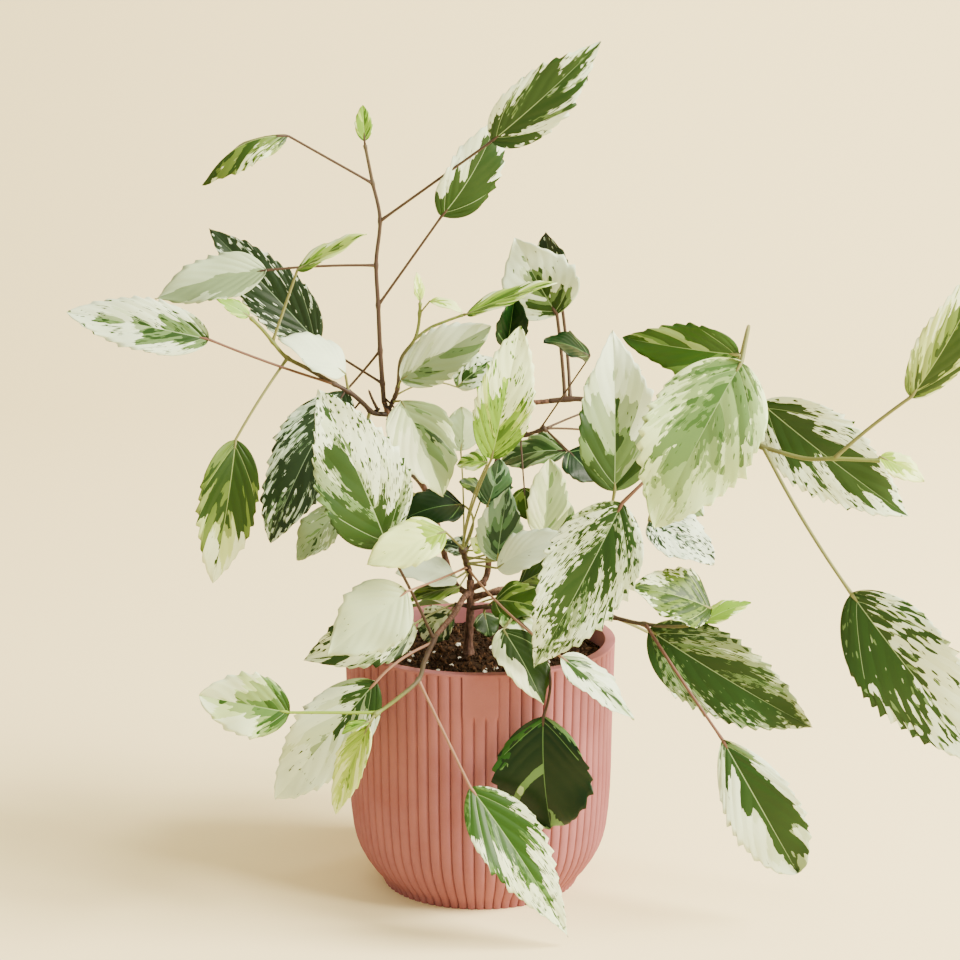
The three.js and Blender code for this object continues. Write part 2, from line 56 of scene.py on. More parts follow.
def addNode(tree, kind, inputs=None, **settings):  # an input is a value, a socket or a node
    node = tree.nodes.new(kind)
    for name, value in settings.items():
        setattr(node, name, value)
    for name, value in (inputs or {}).items():
        if isinstance(value, bpy.types.Node):
            value = value.outputs[0]
        if isinstance(value, bpy.types.NodeSocket):
            tree.links.new(value, node.inputs[name])
        else:
            node.inputs[name].default_value = value
    return node


def newMaterial(name, colour, roughness, sheen=0.2):
    material = bpy.data.materials.new(name)
    material.use_nodes = True
    shader = material.node_tree.nodes["Principled BSDF"]
    shader.inputs["Base Color"].default_value = linear(colour)
    shader.inputs["Roughness"].default_value = roughness
    shader.inputs["Specular IOR Level"].default_value = sheen
    return material


def mottle(tree, place, grain, stops):  # a noise, and the colours that it deals out
    cloud = addNode(tree, "ShaderNodeTexNoise", {"Vector": place, **grain})
    ramp = addNode(tree, "ShaderNodeValToRGB", {"Fac": cloud.outputs["Fac"]})
    elements = ramp.color_ramp.elements
    for element, (position, colour) in zip(elements, (stops[0], stops[-1])):
        element.position = position
        element.color = linear(colour)
    for position, colour in stops[1:-1]:
        elements.new(position).color = linear(colour)
    return cloud, ramp


def newObject(name, data):
    thing = bpy.data.objects.new(name, data)
    bpy.context.scene.collection.objects.link(thing)
    return thing


def newMesh(name, points, triangles, materials, indices=None, flat=None):
    mesh = bpy.data.meshes.new(name)
    points = np.asarray(points, np.float32)
    triangles = np.asarray(triangles, np.int32)
    mesh.vertices.add(len(points))
    mesh.vertices.foreach_set("co", points.ravel())
    mesh.loops.add(3 * len(triangles))
    mesh.loops.foreach_set("vertex_index", triangles.ravel())
    mesh.polygons.add(len(triangles))
    mesh.polygons.foreach_set("loop_start", np.arange(0, 3 * len(triangles), 3, dtype=np.int32))
    for material in materials:
        mesh.materials.append(material)
    if indices is not None:
        mesh.polygons.foreach_set("material_index", np.asarray(indices, np.int32))
    mesh.update(calc_edges=True)
    mesh.validate()
    smooth = np.ones(len(mesh.polygons), bool)
    if flat is not None and len(flat) == len(smooth):
        smooth = ~flat
    mesh.polygons.foreach_set("use_smooth", smooth)
    return newObject(name, mesh)


def joined(shells):  # the points, in metres, and the triangles of several shells in one
    starts = np.cumsum([0] + [len(points) for points, _ in shells])
    return (np.concatenate([points for points, _ in shells]) * mm,
            np.concatenate([faces + start for (_, faces), start in zip(shells, starts)]))


def newTree(name, sizes):  # a geometry tree that takes a shape, these sizes and a material
    tree = bpy.data.node_groups.new(name, "GeometryNodeTree")
    tree.interface.new_socket("Geometry", in_out="OUTPUT", socket_type="NodeSocketGeometry")
    for label, kind in {"Geometry": "Geometry", **sizes, "Material": "Material"}.items():
        tree.interface.new_socket(label, in_out="INPUT", socket_type=f"NodeSocket{kind}")
    return tree, addNode(tree, "NodeGroupInput").outputs


def endTree(tree, shape, material):
    real = addNode(tree, "GeometryNodeRealizeInstances", {"Geometry": shape})
    dressed = addNode(tree, "GeometryNodeSetMaterial", {"Geometry": real, "Material": material})
    addNode(tree, "NodeGroupOutput", {"Geometry": dressed})
    return tree


def growBy(piece, tree, values):  # runs a tree on a piece, and makes the result a plain mesh
    modifier = piece.modifiers.new(tree.name, "NODES")
    modifier.node_group = tree
    for item in tree.interface.items_tree:
        if item.in_out == "INPUT" and item.name in values:
            modifier[item.identifier] = values[item.name]
    bakeModifiers(piece)


def bakeModifiers(piece):
    graph = bpy.context.evaluated_depsgraph_get()
    mesh = bpy.data.meshes.new_from_object(piece.evaluated_get(graph))
    piece.modifiers.clear()
    piece.data = mesh


def shadeSmooth(mesh):
    mesh.polygons.foreach_set("use_smooth", np.ones(len(mesh.polygons), bool))


def recalculateNormals(piece):
    shell = bmesh.new()
    shell.from_mesh(piece.data)
    bmesh.ops.recalc_face_normals(shell, faces=shell.faces)
    shell.to_mesh(piece.data)
    shell.free()


def handOver(piece, slot, *nodes):  # a piece stands in for these nodes of the frame, if any
    if nodes:
        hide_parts(*nodes)
    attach(piece, "root")
    print(piece.name, len(piece.data.polygons), "faces")


view = {
    "position": (0, -1348.5, 507.2),
    "tilt": 12.3,  # degrees down
    "lens": 101.25,
    "sensor": 36,
}


def makeCamera():
    data = bpy.data.cameras.new("camera")
    data.lens = view["lens"]
    data.sensor_width = view["sensor"]
    data.sensor_fit = "HORIZONTAL"
    camera = newObject("camera", data)
    camera.location = Vector(view["position"]) * mm
    camera.rotation_euler = (math.radians(90 - view["tilt"]), 0, 0)
    bpy.context.scene.camera = camera


makeCamera()

stage = {  # metres
    "wall": 2.6,  # behind the pot, with room to walk round it
    "bend": 1.3,  # radius of the sweep from floor to wall
    "reach": 3.6,
    "height": 3,
    "front": -2.6,
    "colour": "#fbe9ba",
    "steps": 24,
}


def makeStage():
    bend, wall = stage["bend"], stage["wall"]
    profile = [(stage["front"], 0)]
    for step in range(stage["steps"] + 1):
        angle = math.pi / 2 * step / stage["steps"]
        profile.append((wall - bend + bend * math.sin(angle), bend - bend * math.cos(angle)))
    profile.append((wall, stage["height"]))
    points = [(x, y, z) for y, z in profile for x in (-stage["reach"], stage["reach"])]
    triangles = []
    for i in range(0, 2 * len(profile) - 2, 2):
        triangles += [(i, i + 1, i + 3), (i, i + 3, i + 2)]
    # dull uncoated paper, with no shine at all
    paper = newMaterial("matteBackdropPaper", stage["colour"], 0.9, 0)
    newMesh("sweep", points, triangles, [paper])


makeStage()

lighting = {  # metres
    "lamps": {
        "key": {"at": (1.8, -0.6, 1.5), "aim": (0, 0, 0.2), "size": 1.3, "watts": 272,
                "colour": "#fff8e4"},
        "fill": {"at": (-1.2, -1.9, 1.2), "aim": (0, 0, 0.2), "size": 2.4, "watts": 10,
                 "colour": "#fbf4dc"},
        "wash": {"at": (0.8, 0.9, 1.6), "aim": (-0.2, 2.6, 0.9), "size": 1.2, "watts": 38,
                 "colour": "#fffae6"},  # turned to the wall
    },
    "air": "#f6f0d4",
    "airStrength": 0.94,
}


def makeLights():
    for name, lamp in lighting["lamps"].items():
        data = bpy.data.lights.new(name, "AREA")
        data.size = lamp["size"]
        data.energy = lamp["watts"]
        data.color = linear(lamp["colour"])[:3]
        light = newObject(name, data)
        light.location = lamp["at"]
        aim = Vector(lamp["aim"]) - light.location
        light.rotation_euler = aim.to_track_quat("-Z", "Y").to_euler()
    world = bpy.data.worlds.new("studioAir")
    world.use_nodes = True
    background = world.node_tree.nodes["Background"]
    background.inputs["Color"].default_value = linear(lighting["air"])
    background.inputs["Strength"].default_value = lighting["airStrength"]
    bpy.context.scene.world = world


makeLights()
print("camera, stage and lights stand")

pot = {
    "profile": [  # radius and height of the reeds' crests, from the foot to the lip
        (50.7, 0), (51.4, 1.4), (52.3, 3.6), (54.4, 6.4), (56.7, 9), (60.1, 14), (63.3, 20),
        (65.2, 25.5), (66.2, 30), (67.4, 40), (68.1, 50), (68.5, 61), (68.8, 84), (69.4, 108),
        (69.9, 128.2),
    ],
    "lip": [  # a plain band over the reeds, and a softened rim
        (70, 128.8), (70, 129.65), (69.88, 129.9), (69.6, 130), (65.1, 130), (64.75, 129.85),
    ],
    "inside": [(64.6, 129.2), (64.5, 126), (64.4, 112), (63.4, 60), (63, 40), (58.5, 14), (52, 6)],
    "reeds": 72,
    "reedDepth": 1.7,
    "reedRoundness": 2.2,  # 2 is a half round, more is a flatter crest
    "facesPerReed": 12,
    "panelHalf": 7.5,  # degrees either side of the front
    "panelFoot": 108,
    "spacing": 2.1,
    "insideSpacing": 8.4,
    "sharp": 38,  # degrees between two faces that keep their edge
    "colour": "#935e62",
    "shade": "#8d575a",
    "bloom": "#9a6365",
}


def stations(profile, spacing):  # the profile's own corners, with even points between them
    points = [profile[0]]
    for a, b in zip(profile, profile[1:]):
        parts = max(1, round(math.dist(a, b) / spacing))
        points += [(a[0] + (b[0] - a[0]) * i / parts, a[1] + (b[1] - a[1]) * i / parts)
                   for i in range(1, parts + 1)]
    return points


def stonewareMaterial():
    # slip-cast stoneware with body stain, bisque outside: powdery and matte, with fine grit
    material = newMaterial("bisqueStoneware", pot["colour"], 0.85, 0.1)
    tree = material.node_tree
    shader = tree.nodes["Principled BSDF"]
    place = addNode(tree, "ShaderNodeTexCoord").outputs["Object"]
    _, stain = mottle(  # the stain gathers in patches some 25 mm wide
        tree, place, {"Scale": 1 / (25 * mm), "Detail": 4, "Roughness": 0.55},
        [(0.3, pot["shade"]), (0.5, pot["colour"]), (0.72, pot["bloom"])])
    grit = addNode(tree, "ShaderNodeTexNoise", {  # grit of 0.4 mm, drawn a little coarser
        "Vector": place, "Scale": 1.5 / mm, "Detail": 2, "Roughness": 0.6})
    dab = addNode(tree, "ShaderNodeMix", {
        "Factor": 0.1, "A": stain.outputs["Color"], "B": grit.outputs["Color"]},
        data_type="RGBA", blend_type="SOFT_LIGHT")
    tree.links.new(dab.outputs["Result"], shader.inputs["Base Color"])
    bump = addNode(tree, "ShaderNodeBump", {
        "Height": grit.outputs["Fac"], "Strength": 0.35, "Distance": 0.12 * mm})
    tree.links.new(bump.outputs["Normal"], shader.inputs["Normal"])
    return material


def reedTree():  # turns a profile into a pot with reeds down its side
    tree, given = newTree("reededPot", {
        "Points": "Int", "Reeds": "Int", "Faces per reed": "Int", "Reed depth": "Float",
        "Reed roundness": "Float", "Panel half turn": "Float", "Panel foot": "Float"})
    here = addNode(tree, "GeometryNodeInputPosition")
    spot = addNode(tree, "ShaderNodeSeparateXYZ", {"Vector": here}).outputs
    mark = addNode(tree, "GeometryNodeInputNamedAttribute", {"Name": "reeded"}, data_type="FLOAT")
    place, reeded = [addNode(tree, "GeometryNodeSampleIndex", {
        "Geometry": given["Geometry"], "Value": value}, data_type=kind, domain="POINT")
        for kind, value in (("FLOAT_VECTOR", here), ("FLOAT", mark))]
    profile = addNode(tree, "ShaderNodeSeparateXYZ", {"Vector": place}).outputs
    known = {socket.name: socket for socket in given}
    known |= {"across": spot["X"], "up": spot["Y"], "reeded": reeded,
              "radius": profile["X"], "height": profile["Z"]}
    for name, operation, *terms in (
            ("faces", "MULTIPLY", "Reeds", "Faces per reed"),
            ("columns", "ADD", "faces", 1),
            ("rise", "ADD", "up", 0.5),
            ("lastPoint", "SUBTRACT", "Points", 1),
            ("row", "MULTIPLY", "rise", "lastPoint"),
            ("row", "ROUND", "row"),
            ("turn", "ADD", "across", 0.5),  # share of the way round, from the back
            ("count", "MULTIPLY", "turn", "Reeds"),
            ("count", "ADD", "count", 0.5),
            ("share", "FRACT", "count"),
            ("away", "SUBTRACT", "share", 0.5),
            ("away", "ABSOLUTE", "away"),
            ("away", "MULTIPLY", "away", 2),  # from a crest, 0, to a groove, 1
            ("fall", "POWER", "away", "Reed roundness"),
            ("left", "SUBTRACT", 1, "fall"),
            ("root", "DIVIDE", 1, "Reed roundness"),
            ("crest", "POWER", "left", "root"),
            ("dip", "SUBTRACT", 1, "crest"),
            ("offFront", "SUBTRACT", "turn", 0.5),
            ("offFront", "ABSOLUTE", "offFront"),
            ("beside", "GREATER_THAN", "offFront", "Panel half turn"),
            ("below", "LESS_THAN", "height", "Panel foot"),
            ("offPanel", "MAXIMUM", "beside", "below"),
            ("depth", "MULTIPLY", "Reed depth", "reeded"),
            ("depth", "MULTIPLY", "depth", "offPanel"),
            ("depth", "MULTIPLY", "depth", "dip"),
            ("reach", "SUBTRACT", "radius", "depth"),
            ("angle", "ADD", "turn", 0.25),
            ("angle", "MULTIPLY", "angle", 2 * math.pi),
            ("x", "COSINE", "angle"),
            ("x", "MULTIPLY", "reach", "x"),
            ("y", "SINE", "angle"),
            ("y", "MULTIPLY", "reach", "y")):
        inputs = {socket: known.get(term, term) for socket, term in enumerate(terms)}
        known[name] = addNode(tree, "ShaderNodeMath", inputs, operation=operation)
    for sampled in (place, reeded):
        tree.links.new(known["row"].outputs[0], sampled.inputs["Index"])
    grid = addNode(tree, "GeometryNodeMeshGrid", {
        "Size X": 1.0, "Size Y": 1.0, "Vertices X": known["columns"],
        "Vertices Y": given["Points"]})
    spun = addNode(tree, "ShaderNodeCombineXYZ", {
        "X": known["x"], "Y": known["y"], "Z": known["height"]})
    bent = addNode(tree, "GeometryNodeSetPosition", {"Geometry": grid, "Position": spun})
    closed = addNode(tree, "GeometryNodeMergeByDistance", {"Geometry": bent, "Distance": 0.01 * mm})
    return endTree(tree, closed, given["Material"])


def makePot():
    outside = stations([(0, 0), *pot["profile"]], pot["spacing"])
    inside = stations(pot["inside"], pot["insideSpacing"]) + [(0, pot["inside"][-1][1])]
    profile = outside + pot["lip"] + inside
    mesh = bpy.data.meshes.new("potProfile")
    mesh.from_pydata([(r * mm, 0, z * mm) for r, z in profile],
                     [(i, i + 1) for i in range(len(profile) - 1)], [])
    reeded = mesh.attributes.new("reeded", "FLOAT", "POINT")
    for i, (radius, _) in enumerate(profile):  # not on the flat underside
        reeded.data[i].value = float(i < len(outside) and radius > pot["profile"][0][0] - 1)
    piece = newObject("reededPot", mesh)
    growBy(piece, reedTree(), {
        "Points": len(profile), "Reeds": pot["reeds"], "Faces per reed": pot["facesPerReed"],
        "Reed depth": pot["reedDepth"] * mm, "Reed roundness": pot["reedRoundness"],
        "Panel half turn": pot["panelHalf"] / 360, "Panel foot": pot["panelFoot"] * mm,
        "Material": stonewareMaterial()})
    recalculateNormals(piece)
    shadeSmooth(piece.data)
    piece.data.set_sharp_from_angle(angle=math.radians(pot["sharp"]))
    handOver(piece, "pot", "pot")


makePot()

soil = {
    "radius": 64.1,
    "top": 120.4,
    "bottom": 108,
    "lump": 0.9,  # how far the bed rises and falls, over so many mm
    "lumpSize": 7,
    "ring": 1.6,  # spacing of the bed's points
    "around": 96,
    "colour": "#150d09",
    "light": "#3f2c1f",
    # grains to the square metre, least and most size, flatness, seed, two colours, roughness
    "grains": {
        "peatCrumbs": (140000, 1.4, 3.8, 0.75, 11, "#1c120c", "#3f2c1f", 0.9),
        "barkChips": (30000, 2, 5, 0.42, 5, "#5a3f2c", "#3f2c1f", 0.8),
        "perliteGrains": (5600, 1.2, 3.3, 0.95, 23, "#e6e2d8", "#f6f3ec", 0.85),
    },
}


def soilMaterial(name, colour, light, roughness, perMillimetre):
    # damp peat and bark fines: near black with brown crumbs, no shine
    material = newMaterial(name, colour, roughness, 0.08)
    tree = material.node_tree
    place = addNode(tree, "ShaderNodeTexCoord").outputs["Object"]
    _, crumbs = mottle(tree, place, {
        "Scale": perMillimetre / mm, "Detail": 3, "Roughness": 0.6}, [(0.36, colour), (0.7, light)])
    tree.links.new(crumbs.outputs["Color"], tree.nodes["Principled BSDF"].inputs["Base Color"])
    return material


def grainTree():  # strews grains over the bed, half sunk, each turned and sized by chance
    tree, given = newTree("strewnGrains", {
        "Density": "Float", "Least": "Float", "Most": "Float", "Flatness": "Float",
        "Seed": "Int"})
    spots = addNode(tree, "GeometryNodeDistributePointsOnFaces", {
        "Mesh": given["Geometry"], "Density": given["Density"], "Seed": given["Seed"]})
    ball = addNode(tree, "GeometryNodeMeshIcoSphere", {"Radius": 0.5, "Subdivisions": 2})
    here = addNode(tree, "GeometryNodeInputPosition")
    rough = addNode(tree, "ShaderNodeTexNoise", {"Vector": here, "Scale": 2.6, "Detail": 1})
    offset = addNode(tree, "ShaderNodeVectorMath", {
        0: rough.outputs["Color"], 1: (0.5, 0.5, 0.5)}, operation="SUBTRACT")
    push = addNode(tree, "ShaderNodeVectorMath", {0: offset, "Scale": 0.85}, operation="SCALE")
    grain = addNode(tree, "GeometryNodeSetPosition", {
        "Geometry": ball.outputs["Mesh"], "Offset": push})
    turned = addNode(tree, "FunctionNodeRandomValue", {
        0: (0, 0, 0), 1: (6.28, 6.28, 6.28), "Seed": given["Seed"]}, data_type="FLOAT_VECTOR")
    size = addNode(tree, "FunctionNodeRandomValue", {
        2: given["Least"], 3: given["Most"], "Seed": given["Seed"]}, data_type="FLOAT")
    flat = addNode(tree, "ShaderNodeMath", {
        0: size.outputs[1], 1: given["Flatness"]}, operation="MULTIPLY")
    shape = addNode(tree, "ShaderNodeCombineXYZ", {"X": size.outputs[1], "Y": flat, "Z": flat})
    strewn = addNode(tree, "GeometryNodeInstanceOnPoints", {
        "Points": spots.outputs["Points"], "Instance": grain, "Rotation": turned,
        "Scale": shape})
    return endTree(tree, strewn, given["Material"])


def makeSoil():
    rings, around = round(soil["radius"] / soil["ring"]), soil["around"]
    points = [(0, 0, soil["top"])]
    for ring in range(1, rings + 1):
        radius = soil["radius"] * ring / rings
        points += [(radius * math.cos(2 * math.pi * k / around),
                    radius * math.sin(2 * math.pi * k / around), soil["top"])
                   for k in range(around)]
    points += [(x, y, soil["bottom"]) for x, y, _ in points[-around:]] + [(0, 0, soil["bottom"])]
    triangles = [(0, 1 + k, 1 + (k + 1) % around) for k in range(around)]
    for ring in range(rings):
        start = 1 + ring * around
        for k in range(around):
            a, b = start + k, start + (k + 1) % around
            triangles += [(a, a + around, b + around), (a, b + around, b)]
    last = len(points) - 1
    triangles += [(last, last - around + (k + 1) % around, last - around + k)
                  for k in range(around)]
    lumpy = []
    for x, y, z in points:
        if z == soil["top"]:
            z += soil["lump"] * noise.fractal(Vector((x, y, 3)) / soil["lumpSize"], 1, 2, 3)
        lumpy.append((x * mm, y * mm, z * mm))
    material = soilMaterial("dampPottingSoil", soil["colour"], soil["light"], 0.9, 0.5)
    bed = newMesh("soilBed", lumpy, triangles, [material])
    recalculateNormals(bed)
    handOver(bed, "soil", "soil")
    clear = soil["radius"] - 1  # grains keep off the wall of the pot
    strewn = [t for t in triangles
              if all(points[i][2] == soil["top"] and math.hypot(*points[i][:2]) < clear for i in t)]
    tree = grainTree()
    for name, row in soil["grains"].items():
        density, least, most, flatness, seed, colour, light, roughness = row
        piece = newMesh(name, lumpy, strewn, [])
        growBy(piece, tree, {
            "Density": float(density), "Least": least * mm, "Most": most * mm,
            "Flatness": flatness, "Seed": seed,
            "Material": soilMaterial(name + "Surface", colour, light, roughness, 0.7)})
        handOver(piece, "soil")


makeSoil()

# The plant is laid out on an elevation, as it looks from the camera's place. A point is given
# as how far across, how far up and how near it is.
elevation = {"distance": 1404, "rise": 204.9}
standpoint = np.array(view["position"])


def placed(point):
    across, rise, near = point
    cosine = math.cos(math.radians(view["tilt"]))
    sine = math.sin(math.radians(view["tilt"]))
    slope = (rise - elevation["rise"]) / elevation["distance"]
    reach = (-standpoint[1] - near) / (cosine + sine * slope)
    height = standpoint[2] + reach * (cosine * slope - sine)
    return np.array([reach * across / elevation["distance"], -near, height])


def unit(vector):
    return vector / np.linalg.norm(vector)


def route(points, perSpan=14):  # a centripetal curve through the points, as an even polyline
    points = [placed(p) for p in points]
    padded = [2 * points[0] - points[1], *points, 2 * points[-1] - points[-2]]
    line = [points[0]]
    for a, b, c, d in zip(padded, padded[1:], padded[2:], padded[3:]):
        t1 = math.dist(a, b) ** 0.5
        t2 = t1 + math.dist(b, c) ** 0.5
        t3 = t2 + math.dist(c, d) ** 0.5
        for step in range(1, perSpan + 1):
            t = t1 + (t2 - t1) * step / perSpan
            ab = a + (b - a) * t / t1
            bc = b + (c - b) * (t - t1) / (t2 - t1)
            cd = c + (d - c) * (t - t2) / (t3 - t2)
            abc = ab + (bc - ab) * t / t2
            bcd = bc + (cd - bc) * (t - t1) / (t3 - t1)
            line.append(abc + (bcd - abc) * (t - t1) / (t2 - t1))
    return np.array(line)


def lengthsAlong(line):
    return np.concatenate([[0], np.cumsum(np.linalg.norm(np.diff(line, axis=0), axis=1))])


def pointAt(line, share):
    along = lengthsAlong(line)
    return np.array([np.interp(share * along[-1], along, line[:, k]) for k in range(3)])


def resampled(line, spacing):
    along = lengthsAlong(line)
    at = np.linspace(0, along[-1], max(3, round(along[-1] / spacing) + 1))
    return np.stack([np.interp(at, along, line[:, k]) for k in range(3)], axis=1)


def tube(line, radii, sides):  # a closed round limb along a polyline
    tangents = np.gradient(line, axis=0)
    tangents /= np.linalg.norm(tangents, axis=1)[:, None]
    across = np.cross(tangents[0], (0.3, 0.5, 0.81))
    rings = []
    angles = 2 * np.pi * np.arange(sides) / sides
    for centre, tangent, radius in zip(line, tangents, radii):
        across = unit(across - tangent * (across @ tangent))
        other = np.cross(tangent, across)
        rings.append(centre + radius * (np.outer(np.cos(angles), across)
                                        + np.outer(np.sin(angles), other)))
    points = np.concatenate([*rings, line[:1], line[-1:]])
    count = len(line)
    i = np.arange(count - 1)[:, None] * sides
    k = np.arange(sides)[None, :]
    a, b = (i + k).ravel(), (i + (k + 1) % sides).ravel()
    triangles = [np.stack([a, b, b + sides], 1), np.stack([a, b + sides, a + sides], 1)]
    k = np.arange(sides)
    foot, tip = count * sides, count * sides + 1
    last = (count - 1) * sides
    triangles.append(np.stack([np.full(sides, foot), (k + 1) % sides, k], 1))
    triangles.append(np.stack([np.full(sides, tip), last + k, last + (k + 1) % sides], 1))
    return points, np.concatenate(triangles)


def grainNoise(x, y, seed):  # smooth chance between about -1 and 1, one lump to each unit
    chance = np.random.RandomState(seed)
    table = chance.permutation(256)
    angle = chance.uniform(0, 2 * np.pi, 256)
    left, low = np.floor(x).astype(int), np.floor(y).astype(int)
    dx, dy = x - left, y - low

    def corner(i, j):
        slot = table[(table[(left + i) & 255] + low + j) & 255]
        return np.cos(angle[slot]) * (dx - i) + np.sin(angle[slot]) * (dy - j)

    fx, fy = (t * t * t * (t * (6 * t - 15) + 10) for t in (dx, dy))
    lower = corner(0, 0) * (1 - fx) + corner(1, 0) * fx
    upper = corner(0, 1) * (1 - fx) + corner(1, 1) * fx
    return 1.45 * (lower * (1 - fy) + upper * fy)


wood = {
    "trunk": [
        {"points": [(-6, 108, 0), (-6, 120, 0), (-5, 136, 1), (-5, 153, 0)], "radii": (2.4, 2)},
        {"points": [(-4, 149, 0), (3, 151, 4)], "radii": (1.4, 1.2)},
        {"points": [(-6, 108, 0), (-6, 121, 0)], "radii": (4, 2.3)},
    ],
    "left_bough": [{"points": [
        (-5, 145, 0), (-13, 151, -4), (-26, 194, -8), (-45, 232, 4), (-50, 246, 10)],
        "radii": (1.7, 1.35)}],
    "right_bough": [{"points": [
        (-5, 148, 0), (3, 154, -9), (5, 194, -15), (13, 229, -22), (21, 243, -26),
        (36, 246, -27)], "radii": (1.7, 1.3)}],
    "low_left_bough": [{"points": [(-5, 147, 0), (-9, 143, 8), (-13, 136, 20), (-23, 124, 40)],
                        "radii": (1.6, 1.4)}],
    "low_right_bough": [{"points": [(-5, 144, 0), (6, 146, 5), (16, 146, 8), (49, 138, 16)],
                         "radii": (1.6, 1.3)}],
    "rear_bough": [{"points": [(-5, 142, 0), (2, 145, -14), (10, 148, -35), (20, 148, -70)],
                    "radii": (1.6, 1.3)}],
}
bark = {
    "sides": 16,
    "voxel": 0.34,
    "relief": 0.12,  # depth of the furrows
    "furrow": (0.9, 0.9, 3.2),  # their size, drawn out along the wood
    "scarSpacing": 15,  # leaf scars ring the wood this far apart
    "scarHeight": 0.2,
    "scarWidth": 0.7,
    "sunk": 1.5,  # how far the trunk goes into the soil
    "colour": "#593f35",
    "dark": "#36261f",
    "pale": "#77594d",
}


def barkMaterial():
    # young hibiscus bark: thin red-brown skin, furrowed lengthways, dotted with pale lenticels
    material = newMaterial("hibiscusBark", bark["colour"], 0.72)
    tree = material.node_tree
    shader = tree.nodes["Principled BSDF"]
    place = addNode(tree, "ShaderNodeTexCoord").outputs["Object"]
    drawn = addNode(tree, "ShaderNodeMapping", {"Vector": place, "Scale": (1, 1, 0.35)})
    furrows, skin = mottle(  # furrows about 1 mm apart
        tree, drawn.outputs[0], {"Scale": 0.9 / mm, "Detail": 4, "Roughness": 0.6},
        [(0.32, bark["dark"]), (0.5, bark["colour"]), (0.75, bark["pale"])])
    tree.links.new(skin.outputs["Color"], shader.inputs["Base Color"])
    bump = addNode(tree, "ShaderNodeBump", {
        "Height": furrows.outputs["Fac"], "Strength": 0.5, "Distance": 0.3 * mm})
    tree.links.new(bump.outputs["Normal"], shader.inputs["Normal"])
    return material


def makeWood():
    limbs = [limb for limbs in wood.values() for limb in limbs]
    lines = [resampled(route(limb["points"]), 1) for limb in limbs]
    shells = [tube(line, np.linspace(*limb["radii"], len(line)), bark["sides"])
              for limb, line in zip(limbs, lines)]
    piece = newMesh("woodyStems", *joined(shells), [])
    remesh = piece.modifiers.new("join", "REMESH")
    remesh.mode = "VOXEL"
    remesh.voxel_size = bark["voxel"] * mm
    bakeModifiers(piece)
    mesh = piece.data
    co = np.zeros(3 * len(mesh.vertices), np.float32)
    normal = np.zeros_like(co)
    mesh.vertices.foreach_get("co", co)
    mesh.vertices.foreach_get("normal", normal)
    co, normal = co.reshape(-1, 3) / mm, normal.reshape(-1, 3)
    centres = np.concatenate(lines)
    alongs = np.concatenate([lengthsAlong(line) for line in lines])
    along = np.zeros(len(co))
    lot = 4000  # as many points at a time as memory takes
    for part in range(0, len(co), lot):
        gap = ((co[part:part + lot, None, :] - centres[None]) ** 2).sum(-1)
        along[part:part + lot] = alongs[gap.argmin(1)]
    furrow = np.array([noise.fractal(Vector(spot), 1, 2, 3) for spot in co / bark["furrow"]])
    phase = (along % bark["scarSpacing"]) - bark["scarSpacing"] / 2
    scar = bark["scarHeight"] * np.exp(-(phase / bark["scarWidth"]) ** 2)
    co += normal * (bark["relief"] * furrow + scar)[:, None]
    co[:, 2] = np.maximum(co[:, 2], soil["top"] - bark["sunk"])
    mesh.vertices.foreach_set("co", (co * mm).astype(np.float32).ravel())
    mesh.materials.append(barkMaterial())
    shadeSmooth(mesh)
    mesh.update()
    handOver(piece, "bark", *wood)


makeWood()

